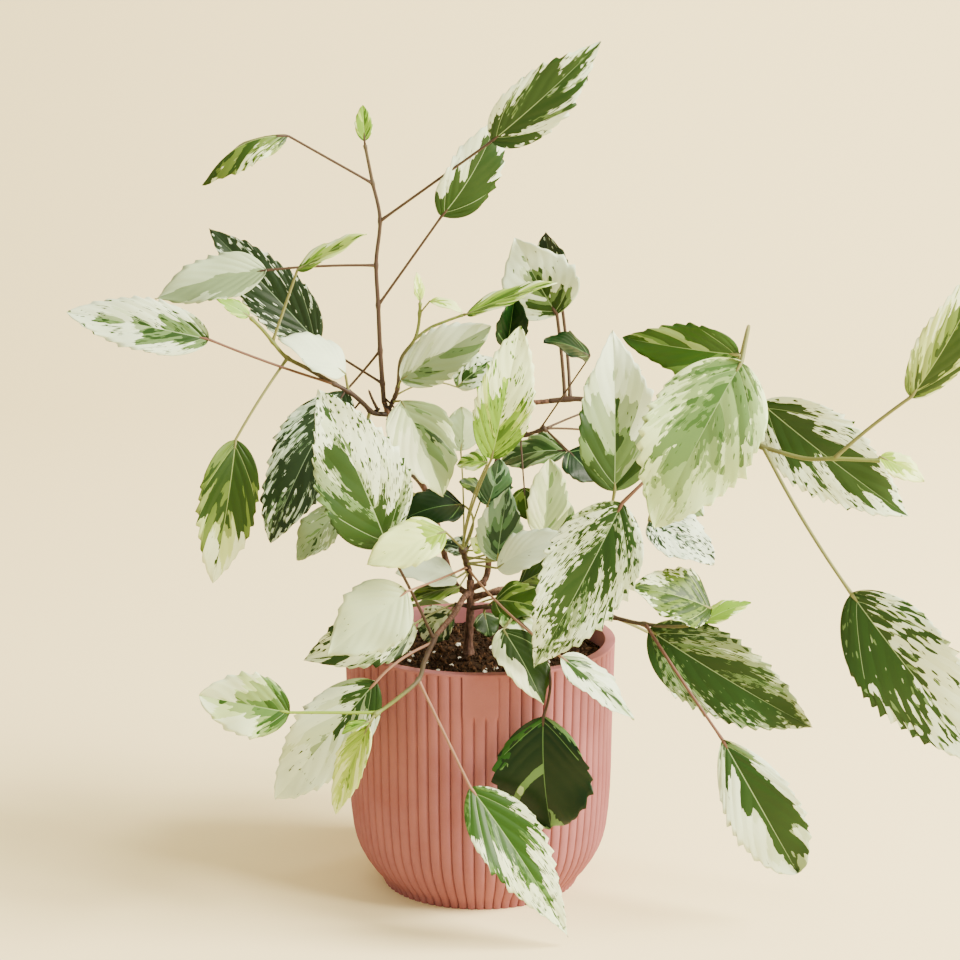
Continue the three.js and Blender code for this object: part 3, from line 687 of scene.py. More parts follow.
# The masses of foliage. Each has shoots, and each shoot its leaves, given as
# (share of the shoot, base, tip, width, turn, arch, kind, extras).
sprays = {
    "tall_spray": [{
        "stem": [(-50, 246, 10), (-51, 259, 11), (-52, 274, 11), (-53, 297, 12), (-54, 318, 12),
                 (-52, 341, 11), (-56, 360, 10), (-58, 370, 10), (-60, 380, 10)],
        "radii": (1.25, 0.8), "petiole": 0.72, "skin": (0.7, 1, 1.1, 1.2, 1.8),
        "stalk": "brown",
        "leaves": [
            (0.99, (-60, 381, 10), (-61, 400, 8), 9, 0, 0, "lime"),
            (0.845, (-100, 384, 15), (-144, 358, 20), 22, 50, 0.2, "oliveMottled", {"fold": -40}),
            (0.7, (6, 381, 24), (63, 433, 36), 31, 14, 0.06, "heart"),
            (0.376, (-20, 342, 10), (9, 393, 6), 30, 30, 0.1, "darkBase", {"side": -1}),
            (0.53, (-111, 314, 20), (-169, 299, 20), 29, 36, 0.05, "greyHalf",
             {"via": (-83, 317, 16)}),
            (0.07, (-84, 276, -6), (-141, 336, -16), 31, 10, 0.03, "mottledDark"),
            (0.2, (-70, 251, 10), (-109, 172, 38), 38, 20, 0.1, "mottledGrey",
             {"via": (-60, 262, 4)}),
        ],
    }],
    "left_spray": [{
        "stem": [(-49, 239, 8), (-56, 240, 14), (-60, 244, 18), (-67, 250, 22), (-76, 255, 25),
                 (-90, 263, 28), (-101, 269, 31), (-108, 277, 33), (-113, 283, 36),
                 (-120, 290, 40)],
        "radii": (1.3, 0.85), "petiole": 0.74, "skin": (0, 0.4, 1.8, 3, 3.2),
        "leaves": [
            (0.98, (-120, 290, 40), (-137, 299, 44), 9, 30, 0.05, "lime"),
            (0.8, (-95, 314, 38), (-59, 333, 40), 16, -60, 0.03, "limeStreaked"),
            (0.39, (-141, 278, 46), (-215, 292, 52), 28, 14, 0.04, "baseGreen",
             {"via": (-107, 264, 38), "stalk": "pink"}),
            (0.68, (-127, 226, 50), (-139, 151, 60), 30, -10, 0.08, "oliveBase",
             {"via": (-116, 246, 44)}),
            (0.3, (-70, 260, 26), (-105, 279, 30), 26, 48, 0.08, "white"),
            (0.12, (-72, 190, 30), (-95, 163, 36), 24, 35, 0.06, "paleMottled",
             {"via": (-60, 226, 14)}),
        ],
    }],
    "upper_spray": [
        {
            "stem": [(-48, 240, 7), (-43, 252, 13), (-41, 268, 14), (-34, 278, 15),
                     (-32, 285, 15), (-31, 298, 14)],
            "radii": (1.08, 0.74), "petiole": 0.62, "skin": (0.3, 1.6, 2.8, 3.3),
            "leaves": [
                (0.25, (-41, 257, 18), (6, 285, 30), 27, -16, 0.04, "rightGreen", {"side": -1}),
                (0.12, (-41, 246, 20), (-19, 196, 36), 36, -20, 0.1, "creamSide"),
                (0.18, (-12, 253, 6), (10, 267, 0), 24, -40, 0.1, "freckled",
                 {"via": (-26, 260, 8)}),
                (0.98, (-31, 298, 14), (-33, 313, 13), 7, 40, 0, "youngMottled"),
                (0.9, (-26, 298, 16), (-9, 292, 20), 8, -50, 0.1, "paleYoung"),
            ],
        },
        {
            "stem": [(-34, 278, 15), (-26, 284, 13), (-19, 287, 12), (-8, 291, 12)],
            "radii": (0.85, 0.66), "skin": (2.8, 3.4),
            "leaves": [
                (0.98, (-7, 291, 12), (40, 308, 18), 17, -60, 0.03, "limeStreaked"),
            ],
        },
        # dry spurs of old shoots about the knot
        {"stem": [(-50, 244, 10), (-47, 242, 12), (-46, 240, 13), (-49, 236, 14)],
         "radii": (1, 0.4), "skin": (0.2, 0.1), "leaves": []},
        {"stem": [(-49, 247, 10), (-45, 243, 13), (-43, 239, 13)], "radii": (0.6, 0.4),
         "skin": (0.4, 0.9), "leaves": []},
        {"stem": [(-52, 242, 11), (-58, 239, 13), (-59, 234, 14), (-62, 232, 14),
                  (-59, 228, 15)], "radii": (0.6, 0.35), "skin": (0.2, 1), "leaves": []},
        {"stem": [(-62, 246, 17), (-66, 240, 18), (-64, 234, 18), (-67, 231, 19)],
         "radii": (0.6, 0.35), "skin": (0.4, 1.2), "leaves": []},
        {"stem": [(-53, 241, 12), (-56, 247, 15), (-58, 252, 16)], "radii": (0.9, 0.6),
         "skin": (0, 0.8), "leaves": []},
    ],
    "heart_spray": [{
        "stem": [(-5, 153, 0), (-6, 158, 4), (-8, 165, 9), (-9, 170, 13)],
        "radii": (1.4, 1), "petiole": 0.64, "skin": (0.9, 1.4),
        "leaves": [
            (0.98, (6, 216, 44), (21, 285, 42), 30, 4, 0.07, "limeBase",
             {"via": (-7, 188, 28)}),
            (0.95, (-18, 178, 66), (-59, 161, 78), 25, 20, 0.08, "youngBase"),
            (0.4, (-38, 147, 66), (-79, 114, 78), 36, 6, 0.05, "paleGreen",
             {"via": (-21, 153, 34), "stalk": "tan"}),
            (0.35, (42, 113, 80), (80, 80, 88), 24, -50, 0.04, "whiteStrip",
             {"via": (10, 137, 46), "stalk": "tan"}),
            (0.7, (9, 163, 22), (15, 201, 30), 26, -15, 0.05, "teal"),
            (0.8, (4, 192, 14), (10, 216, 18), 20, 30, 0.05, "tealDark",
             {"via": (0, 176, 14)}),
            (0.6, (33, 174, 10), (36, 216, 8), 24, 25, 0.04, "creamSide", {"side": -1}),
            (0.5, (38, 166, 0), (44, 197, -2), 20, 20, 0.06, "greyGreen"),
            (0.5, (9, 159, 34), (46, 176, 42), 22, -30, 0.1, "white"),
            (0.9, (2, 168, 20), (-5, 175, 24), 9, 20, 0, "paleYoung"),
            (0.7, (-6, 168, 2), (-20, 172, -4), 14, 40, 0.05, "mottledGrey"),
            (0.92, (-9, 192, 12), (-41, 184, 24), 26, 40, 0.1, "darkGreen",
             {"via": (2, 186, 14)}),
            (0.9, (2, 199, 8), (-11, 204, 12), 11, 45, 0.05, "olive"),
            (0.96, (4, 214, 34), (-12, 213, 28), 16, 50, 0.1, "limeStreaked",
             {"via": (-8, 190, 20)}),
            (0.85, (-10, 220, -2), (-10, 243, -4), 24, 30, 0.06, "greyHalf",
             {"via": (-8, 196, 2)}),
            (0.3, (-12, 154, 14), (-44, 157, 24), 24, 50, 0.08, "white"),
            (0.25, (-11, 149, 17), (-37, 142, 28), 18, 55, 0.06, "olive"),
        ],
    }],
    "back_spray": [{
        "stem": [(13, 229, -22), (22, 228, -20), (29, 230, -18), (35, 232, -17)],
        "radii": (1.1, 0.85), "petiole": 0.64, "skin": (0.7, 1.3),
        "stalk": "brown",
        "leaves": [
            (0.8, (57, 269, 2), (33, 277, 8), 24, 62, 0.1, "darkGreen"),
            (0.95, (45, 220, -30), (10, 213, -38), 26, 50, 0.1, "greyGreen"),
            (0.95, (46, 220, -20), (60, 204, -14), 24, -30, 0.06, "darkGreen"),
            (0.35, (23, 201, -12), (25, 184, -8), 16, 20, 0.05, "olive"),
            (0.5, (14, 274, -12), (18, 301, -8), 23, 10, 0.04, "darkGreen",
             {"via": (20, 252, -12), "fold": 35}),
            (0.98, (57, 241, -38), (84, 262, -66), 34, -140, 0.1, "heart",
             {"via": (48, 238, -30)}),
            (0.96, (62, 230, -52), (94, 204, -84), 34, -150, 0.1, "baseGreen",
             {"via": (50, 232, -40)}),
        ],
    }],
    "right_spray": [{
        "stem": [(36, 246, -27), (52, 247, -26), (88, 239, -12), (125, 228, 8), (147, 222, 24),
                 (170, 216, 32), (185, 216, 36), (209, 215, 38)],
        "radii": (1.4, 1), "petiole": 0.98, "skin": (0.8, 1, 1.6, 2.4, 2.8, 3.2),
        "leaves": [
            (0.045, (40, 291, -24), (18, 331, -18), 42, -12, 0.06, "whiteBase",
             {"via": (43, 268, -29), "stalk": "brown"}),
            (0.06, (42, 300, -36), (34, 334, -38), 22, -30, 0.05, "mottledDark",
             {"via": (46, 272, -38), "stalk": "brown"}),
            (0.44, (74, 193, 74), (28, 107, 84), 47, -10, 0.06, "heartFreckled",
             {"via": (104, 222, 76), "stalk": "pink"}),
            (0.55, (135, 270, 34), (74, 279, 30), 28, -20, 0.04, "greenPatched",
             {"via": (136, 240, 30)}),
            (0.53, (136, 266, 88), (91, 180, 104), 57, 8, 0.08, "paleLime",
             {"via": (147, 318, 46)}),
            (0.42, (88, 184, 42), (122, 161, 56), 30, -35, 0.06, "inkMottled",
             {"via": (96, 212, 14)}),
            (0.66, (146, 245, 16), (223, 186, 6), 43, 10, 0.07, "midribFreckled"),
            (0.87, (224, 248, 50), (263, 317, 58), 30, 24, 0.08, "oliveHeart",
             {"via": (200, 231, 42)}),
            (0.99, (208, 217, 38), (231, 204, 42), 14, -30, 0.06, "paleYoung"),
            (0.67, (193, 146, 70), (265, 57, 84), 50, 12, 0.07, "islands",
             {"via": (166, 184, 52), "side": -1}),
            (0.36, (98, 226, -44), (116, 186, -72), 36, 150, 0.1, "heart",
             {"via": (90, 240, -30)}),
        ],
    }],
    "low_right_spray": [{
        "stem": [(49, 138, 16), (67, 134, 24), (85, 130, 36), (107, 129, 46), (115, 132, 50)],
        "radii": (1.3, 0.85), "petiole": 0.86, "skin": (1, 1.2, 2, 3),
        "leaves": [
            (0.15, (70, 199, 44), (69, 283, 38), 44, 12, 0.04, "greenBase",
             {"via": (64, 166, 34), "fold": 24}),
            (0.98, (120, 138, 54), (78, 149, 64), 34, 35, 0.08, "limeHeart"),
            (0.97, (116, 131, 48), (141, 141, 44), 14, -45, 0.06, "lime"),
            (0.55, (88, 127, 38), (173, 76, 58), 43, 12, 0.06, "greenEdge"),
            (0.57, (126, 70, 76), (165, 1, 80), 37, 0, 0.07, "midribGreen",
             {"via": (99, 109, 66), "stalk": "pink", "shape": (0.55, 0.8)}),
            (0.3, (94, 122, -6), (135, 92, -30), 36, 150, 0.1, "baseGreen",
             {"via": (80, 130, 6)}),
        ],
    }],
    "low_left_spray": [{
        "stem": [(-23, 124, 40), (-29, 110, 64), (-32, 101, 76), (-42, 92, 84), (-50, 86, 88),
                 (-56, 82, 92)],
        "radii": (1.4, 0.85), "petiole": 0.8, "skin": (1, 1.1, 1.7, 2.8, 3.4),
        "leaves": [
            (0.06, (-48, 170, 60), (-84, 252, 78), 48, 15, 0.05, "blockHeart",
             {"via": (-35, 147, 46), "stalk": "brown"}),
            (0.1, (-54, 100, 70), (-106, 39, 62), 37, 5, 0.07, "greyPatched",
             {"via": (-43, 113, 66), "stalk": "tan"}),
            (0.56, (-5, 45, 89), (46, -33, 100), 35, -16, 0.07, "limeBaseWhite",
             {"stalk": "tan", "shape": (0.35, 0.7)}),
            (0.95, (-99, 84, 94), (-146, 93, 96), 32, -4, 0.06, "creamLime",
             {"stalk": "green"}),
            (0.98, (-58, 77, 92), (-75, 31, 82), 18, 30, 0.06, "youngMottled"),
            (0.97, (-58, 79, 97), (-72, 73, 101), 10, 60, 0.05, "lime"),
        ],
    }],
    "under_spray": [{
        "stem": [(-5, 139, 0), (-10, 140, 1), (-14, 140, 2)],
        "radii": (1.15, 0.95), "skin": (0.9, 1.2),
        "leaves": [
            (0.95, (-34, 130, 38), (-92, 111, 58), 32, 10, 0.06, "creamPatched",
             {"via": (-22, 138, 14)}),
            (0.9, (-15, 137, 2), (-29, 121, 2), 22, 30, 0.08, "creamPatched", {"chance": 3}),
        ],
    }],
    "front_spray": [{
        "stem": [(-5, 138, 0), (2, 139, 14), (9, 138, 26), (18, 133, 38)],
        "radii": (1.15, 0.95), "petiole": 0.8, "skin": (0.9, 1.4),
        "leaves": [
            (0.45, (7, 142, 24), (34, 137, 36), 26, -35, 0.1, "olive"),
            (0.75, (12, 136, 34), (29, 122, 48), 19, -45, 0.06, "creamLime"),
            (0.4, (2, 136, 14), (5, 123, 18), 16, -30, 0.04, "greyGreen"),
            (0.97, (12, 127, 58), (33, 88, 88), 27, -30, 0.05, "greyCream"),
            (0.98, (33, 82, 80), (37, 24, 82), 54, 25, 0.07, "allGreen",
             {"via": (45, 114, 72), "stalk": "brown", "shape": (0.52, 0.8)}),
        ],
    }],
    "rear_spray": [{
        "stem": [(20, 148, -70), (24, 141, -86), (25, 122, -98), (23, 106, -102)],
        "radii": (1.25, 0.85), "skin": (0.9, 2.4),
        "leaves": [
            (0.08, (20, 150, -20), (44, 161, -14), 22, -45, 0.06, "olive",
             {"via": (22, 154, -40)}),
            (0.35, (40, 128, -96), (46, 62, -108), 34, 170, 0.1, "heartFreckled"),
            (0.6, (10, 116, -102), (-8, 56, -108), 38, 190, 0.1, "greenEdge"),
            (0.97, (24, 100, -106), (26, 52, -122), 34, 180, 0.1, "whiteBase"),
            (0.2, (-10, 136, -94), (-52, 106, -108), 36, 160, 0.1, "midribGreen",
             {"via": (6, 146, -92)}),
        ],
    }],
    "rear_left_spray": [{
        "stem": [(-26, 194, -8), (-32, 204, -26), (-42, 213, -44)],
        "radii": (1.15, 0.9), "skin": (0.7, 2.2),
        "leaves": [
            (0.97, (-50, 220, -54), (-72, 198, -92), 36, 160, 0.1, "heart"),
            (0.8, (-42, 202, -48), (-57, 176, -84), 32, 170, 0.1, "greenBase"),
            (0.9, (-36, 222, -52), (-22, 212, -92), 30, 190, 0.1, "islands"),
        ],
    }],
}

# How each kind of leaf is painted. green is how far out the green reaches, 0 the midrib and 1
# the edge; rib how strictly it keeps to the midrib; base draws it to the base and side to one
# half; blocks steps it from vein to vein, streak feathers it and fine frets it. dark and grey
# are shares of the green, freckle the share of the white that is dotted.
plainKind = {
    "tint": "ivory", "green": 0.5, "rib": 1, "base": 0, "side": 0, "blocks": 0.36,
    "streak": 0.16, "fine": 0.1, "dark": -0.05, "grey": -0.25, "freckle": 0,
    "more": 0.07,  # added to green in every kind
}
kinds = {
    "heart": {"green": 0.6, "freckle": 0.8, "dark": 0.3, "fine": 0.3},
    "heartFreckled": {"green": 0.48, "freckle": 1.15, "dark": 0.2, "streak": 0.3, "fine": 0.6,
                      "blocks": 0.35, "grey": 0.1},
    "midribFreckled": {"green": 0.42, "blocks": 0.3, "freckle": 1.1, "dark": 0.5},
    "midribGreen": {"green": 0.46, "base": 0.1, "freckle": 0.2, "dark": 0.25, "side": 0.3,
                    "grey": 0.1},
    "baseGreen": {"green": 0.25, "base": 0.6, "freckle": 0.95},
    "greenBase": {"green": 0.42, "base": 1.1, "rib": 0.5, "grey": 0.1, "dark": -0.2},
    "whiteBase": {"green": 0.1, "base": 0.6, "freckle": 0.45},
    "rightGreen": {"green": 0.22, "side": 0.7, "freckle": 0.2, "dark": -0.7, "grey": 0.25},
    "darkBase": {"green": 0.7, "base": 0.6, "side": 0.25, "freckle": 0.4, "dark": 0.9},
    "oliveMottled": {"green": 0.7, "fine": 0.5, "streak": 0.3, "dark": -0.1, "rib": 0.7,
                     "tint": "olive"},
    "creamSide": {"green": 0.34, "side": 0.6, "grey": 0.5, "dark": -0.6, "tint": "cream"},
    "greyHalf": {"green": 0.4, "side": 0.6, "grey": 1, "dark": -0.9},
    "greyCream": {"green": 0.75, "side": 0.5, "dark": 0.5, "grey": 0.1, "tint": "cream"},
    "greyGreen": {"green": 1.4, "grey": 0.3, "dark": -0.15},
    "greenEdge": {"green": 1.0, "base": 0.2, "freckle": 1.2, "dark": 0, "blocks": 0.3,
                  "fine": 0.6, "grey": 0.28},
    "islands": {"green": 0.12, "base": 0.55, "side": 0.2, "streak": 0.7, "rib": 0.35,
                "blocks": 0.2, "freckle": 0.5, "dark": 0.35},
    "mottledDark": {"green": 0.62, "rib": 0.4, "streak": 0.2, "fine": 1.1, "blocks": 0.2,
                    "dark": 0.9, "grey": -0.1, "freckle": 0.8, "tint": "slate"},
    "mottledGrey": {"green": 0.42, "rib": 0.5, "streak": 0.4, "fine": 0.7, "blocks": 0.25,
                    "dark": 0.25, "grey": 0.1, "freckle": 0.9, "tint": "slate"},
    "paleMottled": {"green": 0.6, "fine": 0.7, "dark": -0.7, "grey": 0.6, "freckle": 0.3,
                    "rib": 0.5},
    "freckled": {"green": 0.1, "freckle": 1, "streak": 0.3},
    "white": {"green": -0.7, "freckle": 0.25, "blocks": 0.2},
    "whiteStrip": {"green": 0.25, "streak": 0.3, "grey": 0.2, "freckle": 0.7},
    "creamPatched": {"green": -0.15, "rib": -0.2, "streak": 0.4, "dark": 0.3, "grey": 0.1,
                     "freckle": 0.9, "tint": "cream"},
    "teal": {"green": 0.8, "streak": 0.35, "grey": 0.35, "dark": -0.1, "tint": "teal"},
    "tealDark": {"green": 1.5, "grey": 0.3, "dark": -0.2, "tint": "teal"},
    "darkGreen": {"green": 1.7, "dark": 0.3, "tint": "deep"},
    "allGreen": {"green": 0.95, "rib": 0.35, "dark": 0.05, "grey": 0.5, "blocks": 0.6,
                 "tint": "deep"},
    "greenPatched": {"green": 1.5, "rib": 0.3, "dark": 0, "grey": 0.35, "blocks": 0.6,
                     "tint": "fresh"},
    "inkMottled": {"green": -0.05, "base": 0.4, "fine": 1, "streak": 0.3, "dark": 0.9,
                   "freckle": 1.3, "tint": "slate"},
    "olive": {"green": 1.25, "dark": -0.1, "grey": -0.1, "tint": "olive"},
    "oliveBase": {"green": 0.5, "base": 1.25, "rib": 0.4, "dark": -0.05, "grey": 0,
                  "blocks": 0.4, "freckle": 0.1, "tint": "olive"},
    "oliveHeart": {"green": 0.85, "streak": 0.35, "dark": 0.1, "grey": 0.1, "tint": "olive"},
    "lime": {"green": 1.0, "dark": -0.5, "grey": -0.1, "tint": "lime"},
    "limeStreaked": {"green": 0.7, "streak": 0.3, "dark": -0.1, "grey": 0.1, "tint": "lime"},
    "limeBase": {"green": 0.16, "base": 1.15, "rib": 0.5, "dark": -0.35, "grey": -0.3,
                 "freckle": 1.05, "tint": "lime"},
    "limeBaseWhite": {"green": 0.62, "base": 0.5, "freckle": 1.1, "fine": 0.3, "dark": 0.15,
                      "tint": "fresh"},
    "limeHeart": {"green": 0.95, "base": 0.35, "fine": 0.45, "dark": -0.1, "grey": -0.7,
                  "freckle": 1.1, "tint": "olive"},
    "creamLime": {"green": 0.4, "base": 1.1, "streak": 0.25, "dark": -0.2, "grey": 0.2,
                  "tint": "fresh"},
    "paleLime": {"green": 0.5, "base": 0.2, "streak": 0.3, "fine": 0.25, "dark": -0.45,
                 "grey": 0.12, "tint": "milky", "freckle": 0.4},
    "paleYoung": {"green": 0.3, "base": 0.7, "dark": -1, "grey": -0.1, "tint": "young"},
    "youngBase": {"green": -0.35, "base": 1.5, "dark": -1, "grey": -0.4, "freckle": 0.2,
                  "tint": "young"},
    "youngMottled": {"green": 0.4, "base": 0.2, "fine": 0.5, "dark": -0.5, "grey": 0.1,
                     "tint": "young"},
    "paleGreen": {"green": -0.8, "freckle": 0.3, "blocks": 0.2, "tint": "celadon"},
    "greyPatched": {"green": 0.1, "base": 0.75, "freckle": 0.5, "grey": 0.15, "dark": 0.1},
    "blockHeart": {"green": 0.32, "base": 0.7, "side": 0.42, "blocks": 0.3, "fine": 0.12,
                   "streak": 0.12, "freckle": 1.2, "rib": 0.5, "grey": 0, "dark": 0.02},
}

# Leaf tissue where it lacks chlorophyll is ivory; where it has some it is grey-green, then
# green, then deep green. The five colours of each tint are white, wash, grey, mid and dark.
tints = {
    "ivory": ("#cad9bd", "#b5c6a0", "#7d9168", "#577241", "#1e390d"),
    "celadon": ("#bccca2", "#a8bb8a", "#7d9166", "#4d7038", "#1e380e"),
    "cream": ("#d2dbb2", "#bccb98", "#7f9162", "#597240", "#223810"),
    "teal": ("#c9dbc4", "#a8c2a4", "#6a8a70", "#426846", "#1c3a24"),
    "slate": ("#c8d8c2", "#9fb49c", "#687c62", "#435c3c", "#1a2c14"),
    "deep": ("#c4d4b0", "#a0b984", "#5a7c46", "#224e14", "#042203"),
    "olive": ("#ccd8ae", "#adbf74", "#778a48", "#556c29", "#243c0a"),
    "lime": ("#d2e2ac", "#b9d272", "#9ab648", "#6f9626", "#3d6114"),
    "fresh": ("#d0deb6", "#b5cc8a", "#7d9658", "#4c6d31", "#284812"),
    "milky": ("#cee4a8", "#b2cc8a", "#7f9b5e", "#5b7942", "#3c5c28"),
    "young": ("#d0e094", "#b4cc60", "#9ab53e", "#7f9e27", "#587c1a"),
}
mottling = {  # sizes of the patterns on a blade
    "streak": (3, 5),  # across and along the side veins
    "fret": 1.9,
    "cloud": 9,
    "dot": 1.5,
    "crowd": 7,  # dots stand in crowds
    "finest": 0.7,  # a longer edge is halved where it would miss a pattern
}
blade = {
    "grid": 1.6,  # between the points of a blade before it is cut along its colours
    "smallGrid": 0.72,  # share of that on a small leaf
    "small": 32,  # length under which a leaf is small
    "shape": (0.4, 0.62),  # where it is widest, and how full its base is
    "fan": 3.2,  # how closely the side veins crowd at the foot of the midrib
    "forward": 1.15,  # how far forward they meet the edge
    "veins": (0.2, 0.38, 0.52, 0.64, 0.75, 0.85, 0.93),
    "basalVein": 0.38,  # the strong pair that leaves the foot of the midrib
    "veinSlope": 0.4,  # mm between two veins for each mm of blade and unit of the fan
    "veinWidth": 0.32,
    "ribWidth": 0.5,
    "thickness": 0.38,
    "fold": 12,
    "roll": 14,
    "toothEvery": 6.2,
    "toothDepth": 0.13,
    "quilt": 0.36,  # how far the tissue swells between the veins
    "ripple": 0.075,  # wave of the edge, as a share of the half width
    "cup": 0.1,
    "underRib": 0.5,
    "underVein": 0.16,
    "roughness": 0.42,
    "veinShare": 0.7,  # how far a vein's colour is from white to green
    "underRoughness": 0.6,
    "underColour": "#bfc9a6",
    "underShare": 0.3,  # how much of it tells beneath
}
shadeNames = ("White", "Wash", "Grey", "Mid", "Dark", "Vein")
skins = {}  # materials of leaves and shoots, each made when it is first asked for


def leafMaterial(tint, shade, under):
    # hibiscus leaf: a thin waxy cuticle over soft tissue, satin above and matte beneath
    name = f"{tint}Leaf{shadeNames[shade]}" + "Under" * under
    if name not in skins:
        five = tints[tint]
        colour = (*five, blended(five[0], five[3], blade["veinShare"]))[shade]
        roughness = blade["roughness"]
        if under:
            colour = blended(colour, blade["underColour"], blade["underShare"])
            roughness = blade["underRoughness"]
        skins[name] = newMaterial(name, colour, roughness)
    return skins[name]


def outline(share, shape):  # half the width at a share of the length, the widest being 1
    share = np.clip(share, 0, 1)
    widest, base = shape
    tip = base * (1 / widest - 1)
    return (share / widest) ** base * ((1 - share) / (1 - widest)) ** tip


def spread(q, f, half, shape):
    # where a point of the grid lies: its share of the length, and its distance from the
    # midrib. q counts the side veins from base to tip, f runs from the midrib to the edge
    foot = q ** blade["fan"]
    edge = 1 - (1 - q) ** blade["forward"]
    ahead = foot + (edge - foot) * f ** 1.2
    return ahead, f * outline(0.35 * ahead + 0.65 * edge, shape) * half


def bordersOf(triangles):
    return np.concatenate([triangles[:, [0, 1]], triangles[:, [1, 2]], triangles[:, [2, 0]]])


def edgesOf(triangles):
    return np.unique(np.sort(bordersOf(triangles), axis=1), axis=0)


# how a triangle with corners 0, 1, 2 is split by the number of its edges 3, 4, 5 that are cut
splits = (
    ((0, 1, 2),),
    ((0, 3, 2), (3, 1, 2)),
    ((0, 3, 5), (3, 1, 2), (3, 2, 5)),
    ((0, 3, 5), (3, 1, 4), (5, 4, 2), (3, 4, 5)),
)


def divided(fields, coords, triangles, edges, where):
    # cuts the marked edges at their share, and every triangle to suit
    old = len(coords)
    share = where[:, None]
    a, b = edges.T
    keys = a * old + b
    newFields = fields[a] * (1 - share) + fields[b] * share
    newCoords = coords[a] * (1 - share) + coords[b] * share
    ends = np.stack([triangles, np.roll(triangles, -1, axis=1)])
    wanted = ends.min(0) * old + ends.max(0)
    found = np.minimum(np.searchsorted(keys, wanted), len(keys) - 1)
    isCut = keys[found] == wanted
    count = isCut.sum(1)
    lead = np.select([count == 1, count == 2], [isCut.argmax(1), (isCut.argmin(1) + 2) % 3], 0)
    turn = (lead[:, None] + np.arange(3)) % 3  # so that the split's first corner leads
    six = np.concatenate([np.take_along_axis(each, turn, 1) for each in (triangles, old + found)],
                         axis=1)
    done, origin = [], []
    for number, parts in enumerate(splits):
        rows = np.flatnonzero(count == number)
        for part in parts:
            done.append(six[rows][:, part])
            origin.append(rows)
    return (np.concatenate([fields, newFields]), np.concatenate([coords, newCoords]),
            np.concatenate(done), np.concatenate(origin))


def crossings(fields, triangles, column):  # the edges where a field passes through nought
    pairs = edgesOf(triangles)
    a, b = fields[pairs, column].T
    crossing = a * b < 0
    a, b = a[crossing], b[crossing]
    return pairs[crossing], a / (a - b)


def cutAlong(fields, coords, triangles, column):
    # cuts the triangles where a field passes through nought, and moves near misses onto it
    near = 0.12
    for _ in range(2):
        pairs, share = crossings(fields, triangles, column)
        fields[pairs[share < near, 0], column] = 0
        fields[pairs[share > 1 - near, 1], column] = 0
    pairs, share = crossings(fields, triangles, column)
    if not len(pairs):
        return fields, coords, triangles, np.arange(len(triangles))
    old = len(fields)
    fields, coords, triangles, origin = divided(fields, coords, triangles, pairs, share)
    fields[old:, column] = 0
    return fields, coords, triangles, origin


def welded(points, triangles):  # points that coincide become one; triangles without area go
    _, first, back = np.unique(np.round(points, 4), axis=0, return_index=True,
                               return_inverse=True)
    triangles = back.reshape(-1)[triangles]
    kept = (triangles != triangles[:, [1, 2, 0]]).all(1)
    return points[first], triangles[kept], kept


def stairs(q, veins, values):  # one value from vein to vein, with quick steps between
    half = 0.006
    places = np.sort(np.concatenate([veins - half, veins + half]))
    return np.interp(q, places, np.repeat(values, 2)[1:-1])


def painted(kind, side, coords, length, half, shape, seed):
    # three fields over a blade: green where the first is over nought, deep green where the
    # second is, and grey-green or washed where the third is
    look = {**plainKind, **kinds[kind]}
    chance = np.random.RandomState(seed)
    q, t = coords.T
    f = np.abs(t)
    right = t > 0
    ahead, out = spread(q, f, half, shape)
    x, y = ahead * length, np.sign(t) * out
    along, between = f * half * 1.4, q * length * 0.75
    veins = np.array(blade["veins"])
    steps = np.sort(np.concatenate([veins, (veins[1:] + veins[:-1]) / 2]))
    streakAcross, streakAlong = mottling["streak"]
    fret, cloud, dot, crowd = (mottling[size] for size in ("fret", "cloud", "dot", "crowd"))
    fields = np.zeros((len(q), 3))
    for column in range(3):
        large = chance.uniform(-1, 1, (2, len(veins) + 1))
        small = chance.uniform(-1, 1, (2, len(steps) + 1))
        block = np.where(right, stairs(q, veins, large[0]), stairs(q, veins, large[1])) \
            + 0.5 * np.where(right, stairs(q, steps, small[0]), stairs(q, steps, small[1]))
        first = seed + 11 * column
        streak = grainNoise(between / streakAcross + 40 * right,
                            along / streakAlong + 3 * column, first + 1)
        fields[:, column] = look["blocks"] * block + look["streak"] * streak \
            + look["fine"] * grainNoise(x / fret, y / fret, first + 2) \
            + 0.2 * grainNoise(x / cloud, y / cloud, first + 3)
    reach = 0.65 * ahead + 0.35 * q
    fields[:, 0] += look["green"] + look["more"] - look["rib"] * f \
        + look["base"] * (1 - 2 * reach) + look["side"] * side * np.clip(t * 5, -1, 1)
    depth = np.clip(fields[:, 0], -1, 1)
    fields[:, 1] += look["dark"] + 0.5 * (depth - 0.3)
    fields[:, 2] += look["grey"] + 0.7 * (0.25 - np.abs(depth))
    if look["freckle"] > 0:
        freckle = 1.2 * grainNoise(x / dot + 7, y / dot, seed + 50) \
            + 0.5 * grainNoise(x / crowd, y / crowd + 9, seed + 51) \
            + 0.55 * look["freckle"] - 1.02
        fields[:, 0] = np.maximum(fields[:, 0], freckle)
        speck = (freckle > 0) & (fields[:, 1] < 0.2)
        fields[:, 1] = np.where(speck, np.maximum(fields[:, 1], freckle + 0.05), fields[:, 1])
    return fields


def midribOf(base, tip, turn, arch):
    start, end = placed(base), placed(tip)
    middle = (start + end) / 2
    axis = end - start
    length = np.linalg.norm(axis)
    axis = axis / length
    sight = standpoint - middle
    facing = unit(sight - axis * (sight @ axis))
    angle = math.radians(turn)
    facing = facing * math.cos(angle) + np.cross(axis, facing) * math.sin(angle)
    return start, middle + 2 * arch * length * facing, end, facing, length


def bowed(start, bend, end, s):  # points of a quadratic curve
    return (1 - s) ** 2 * start + 2 * s * (1 - s) * bend + s ** 2 * end


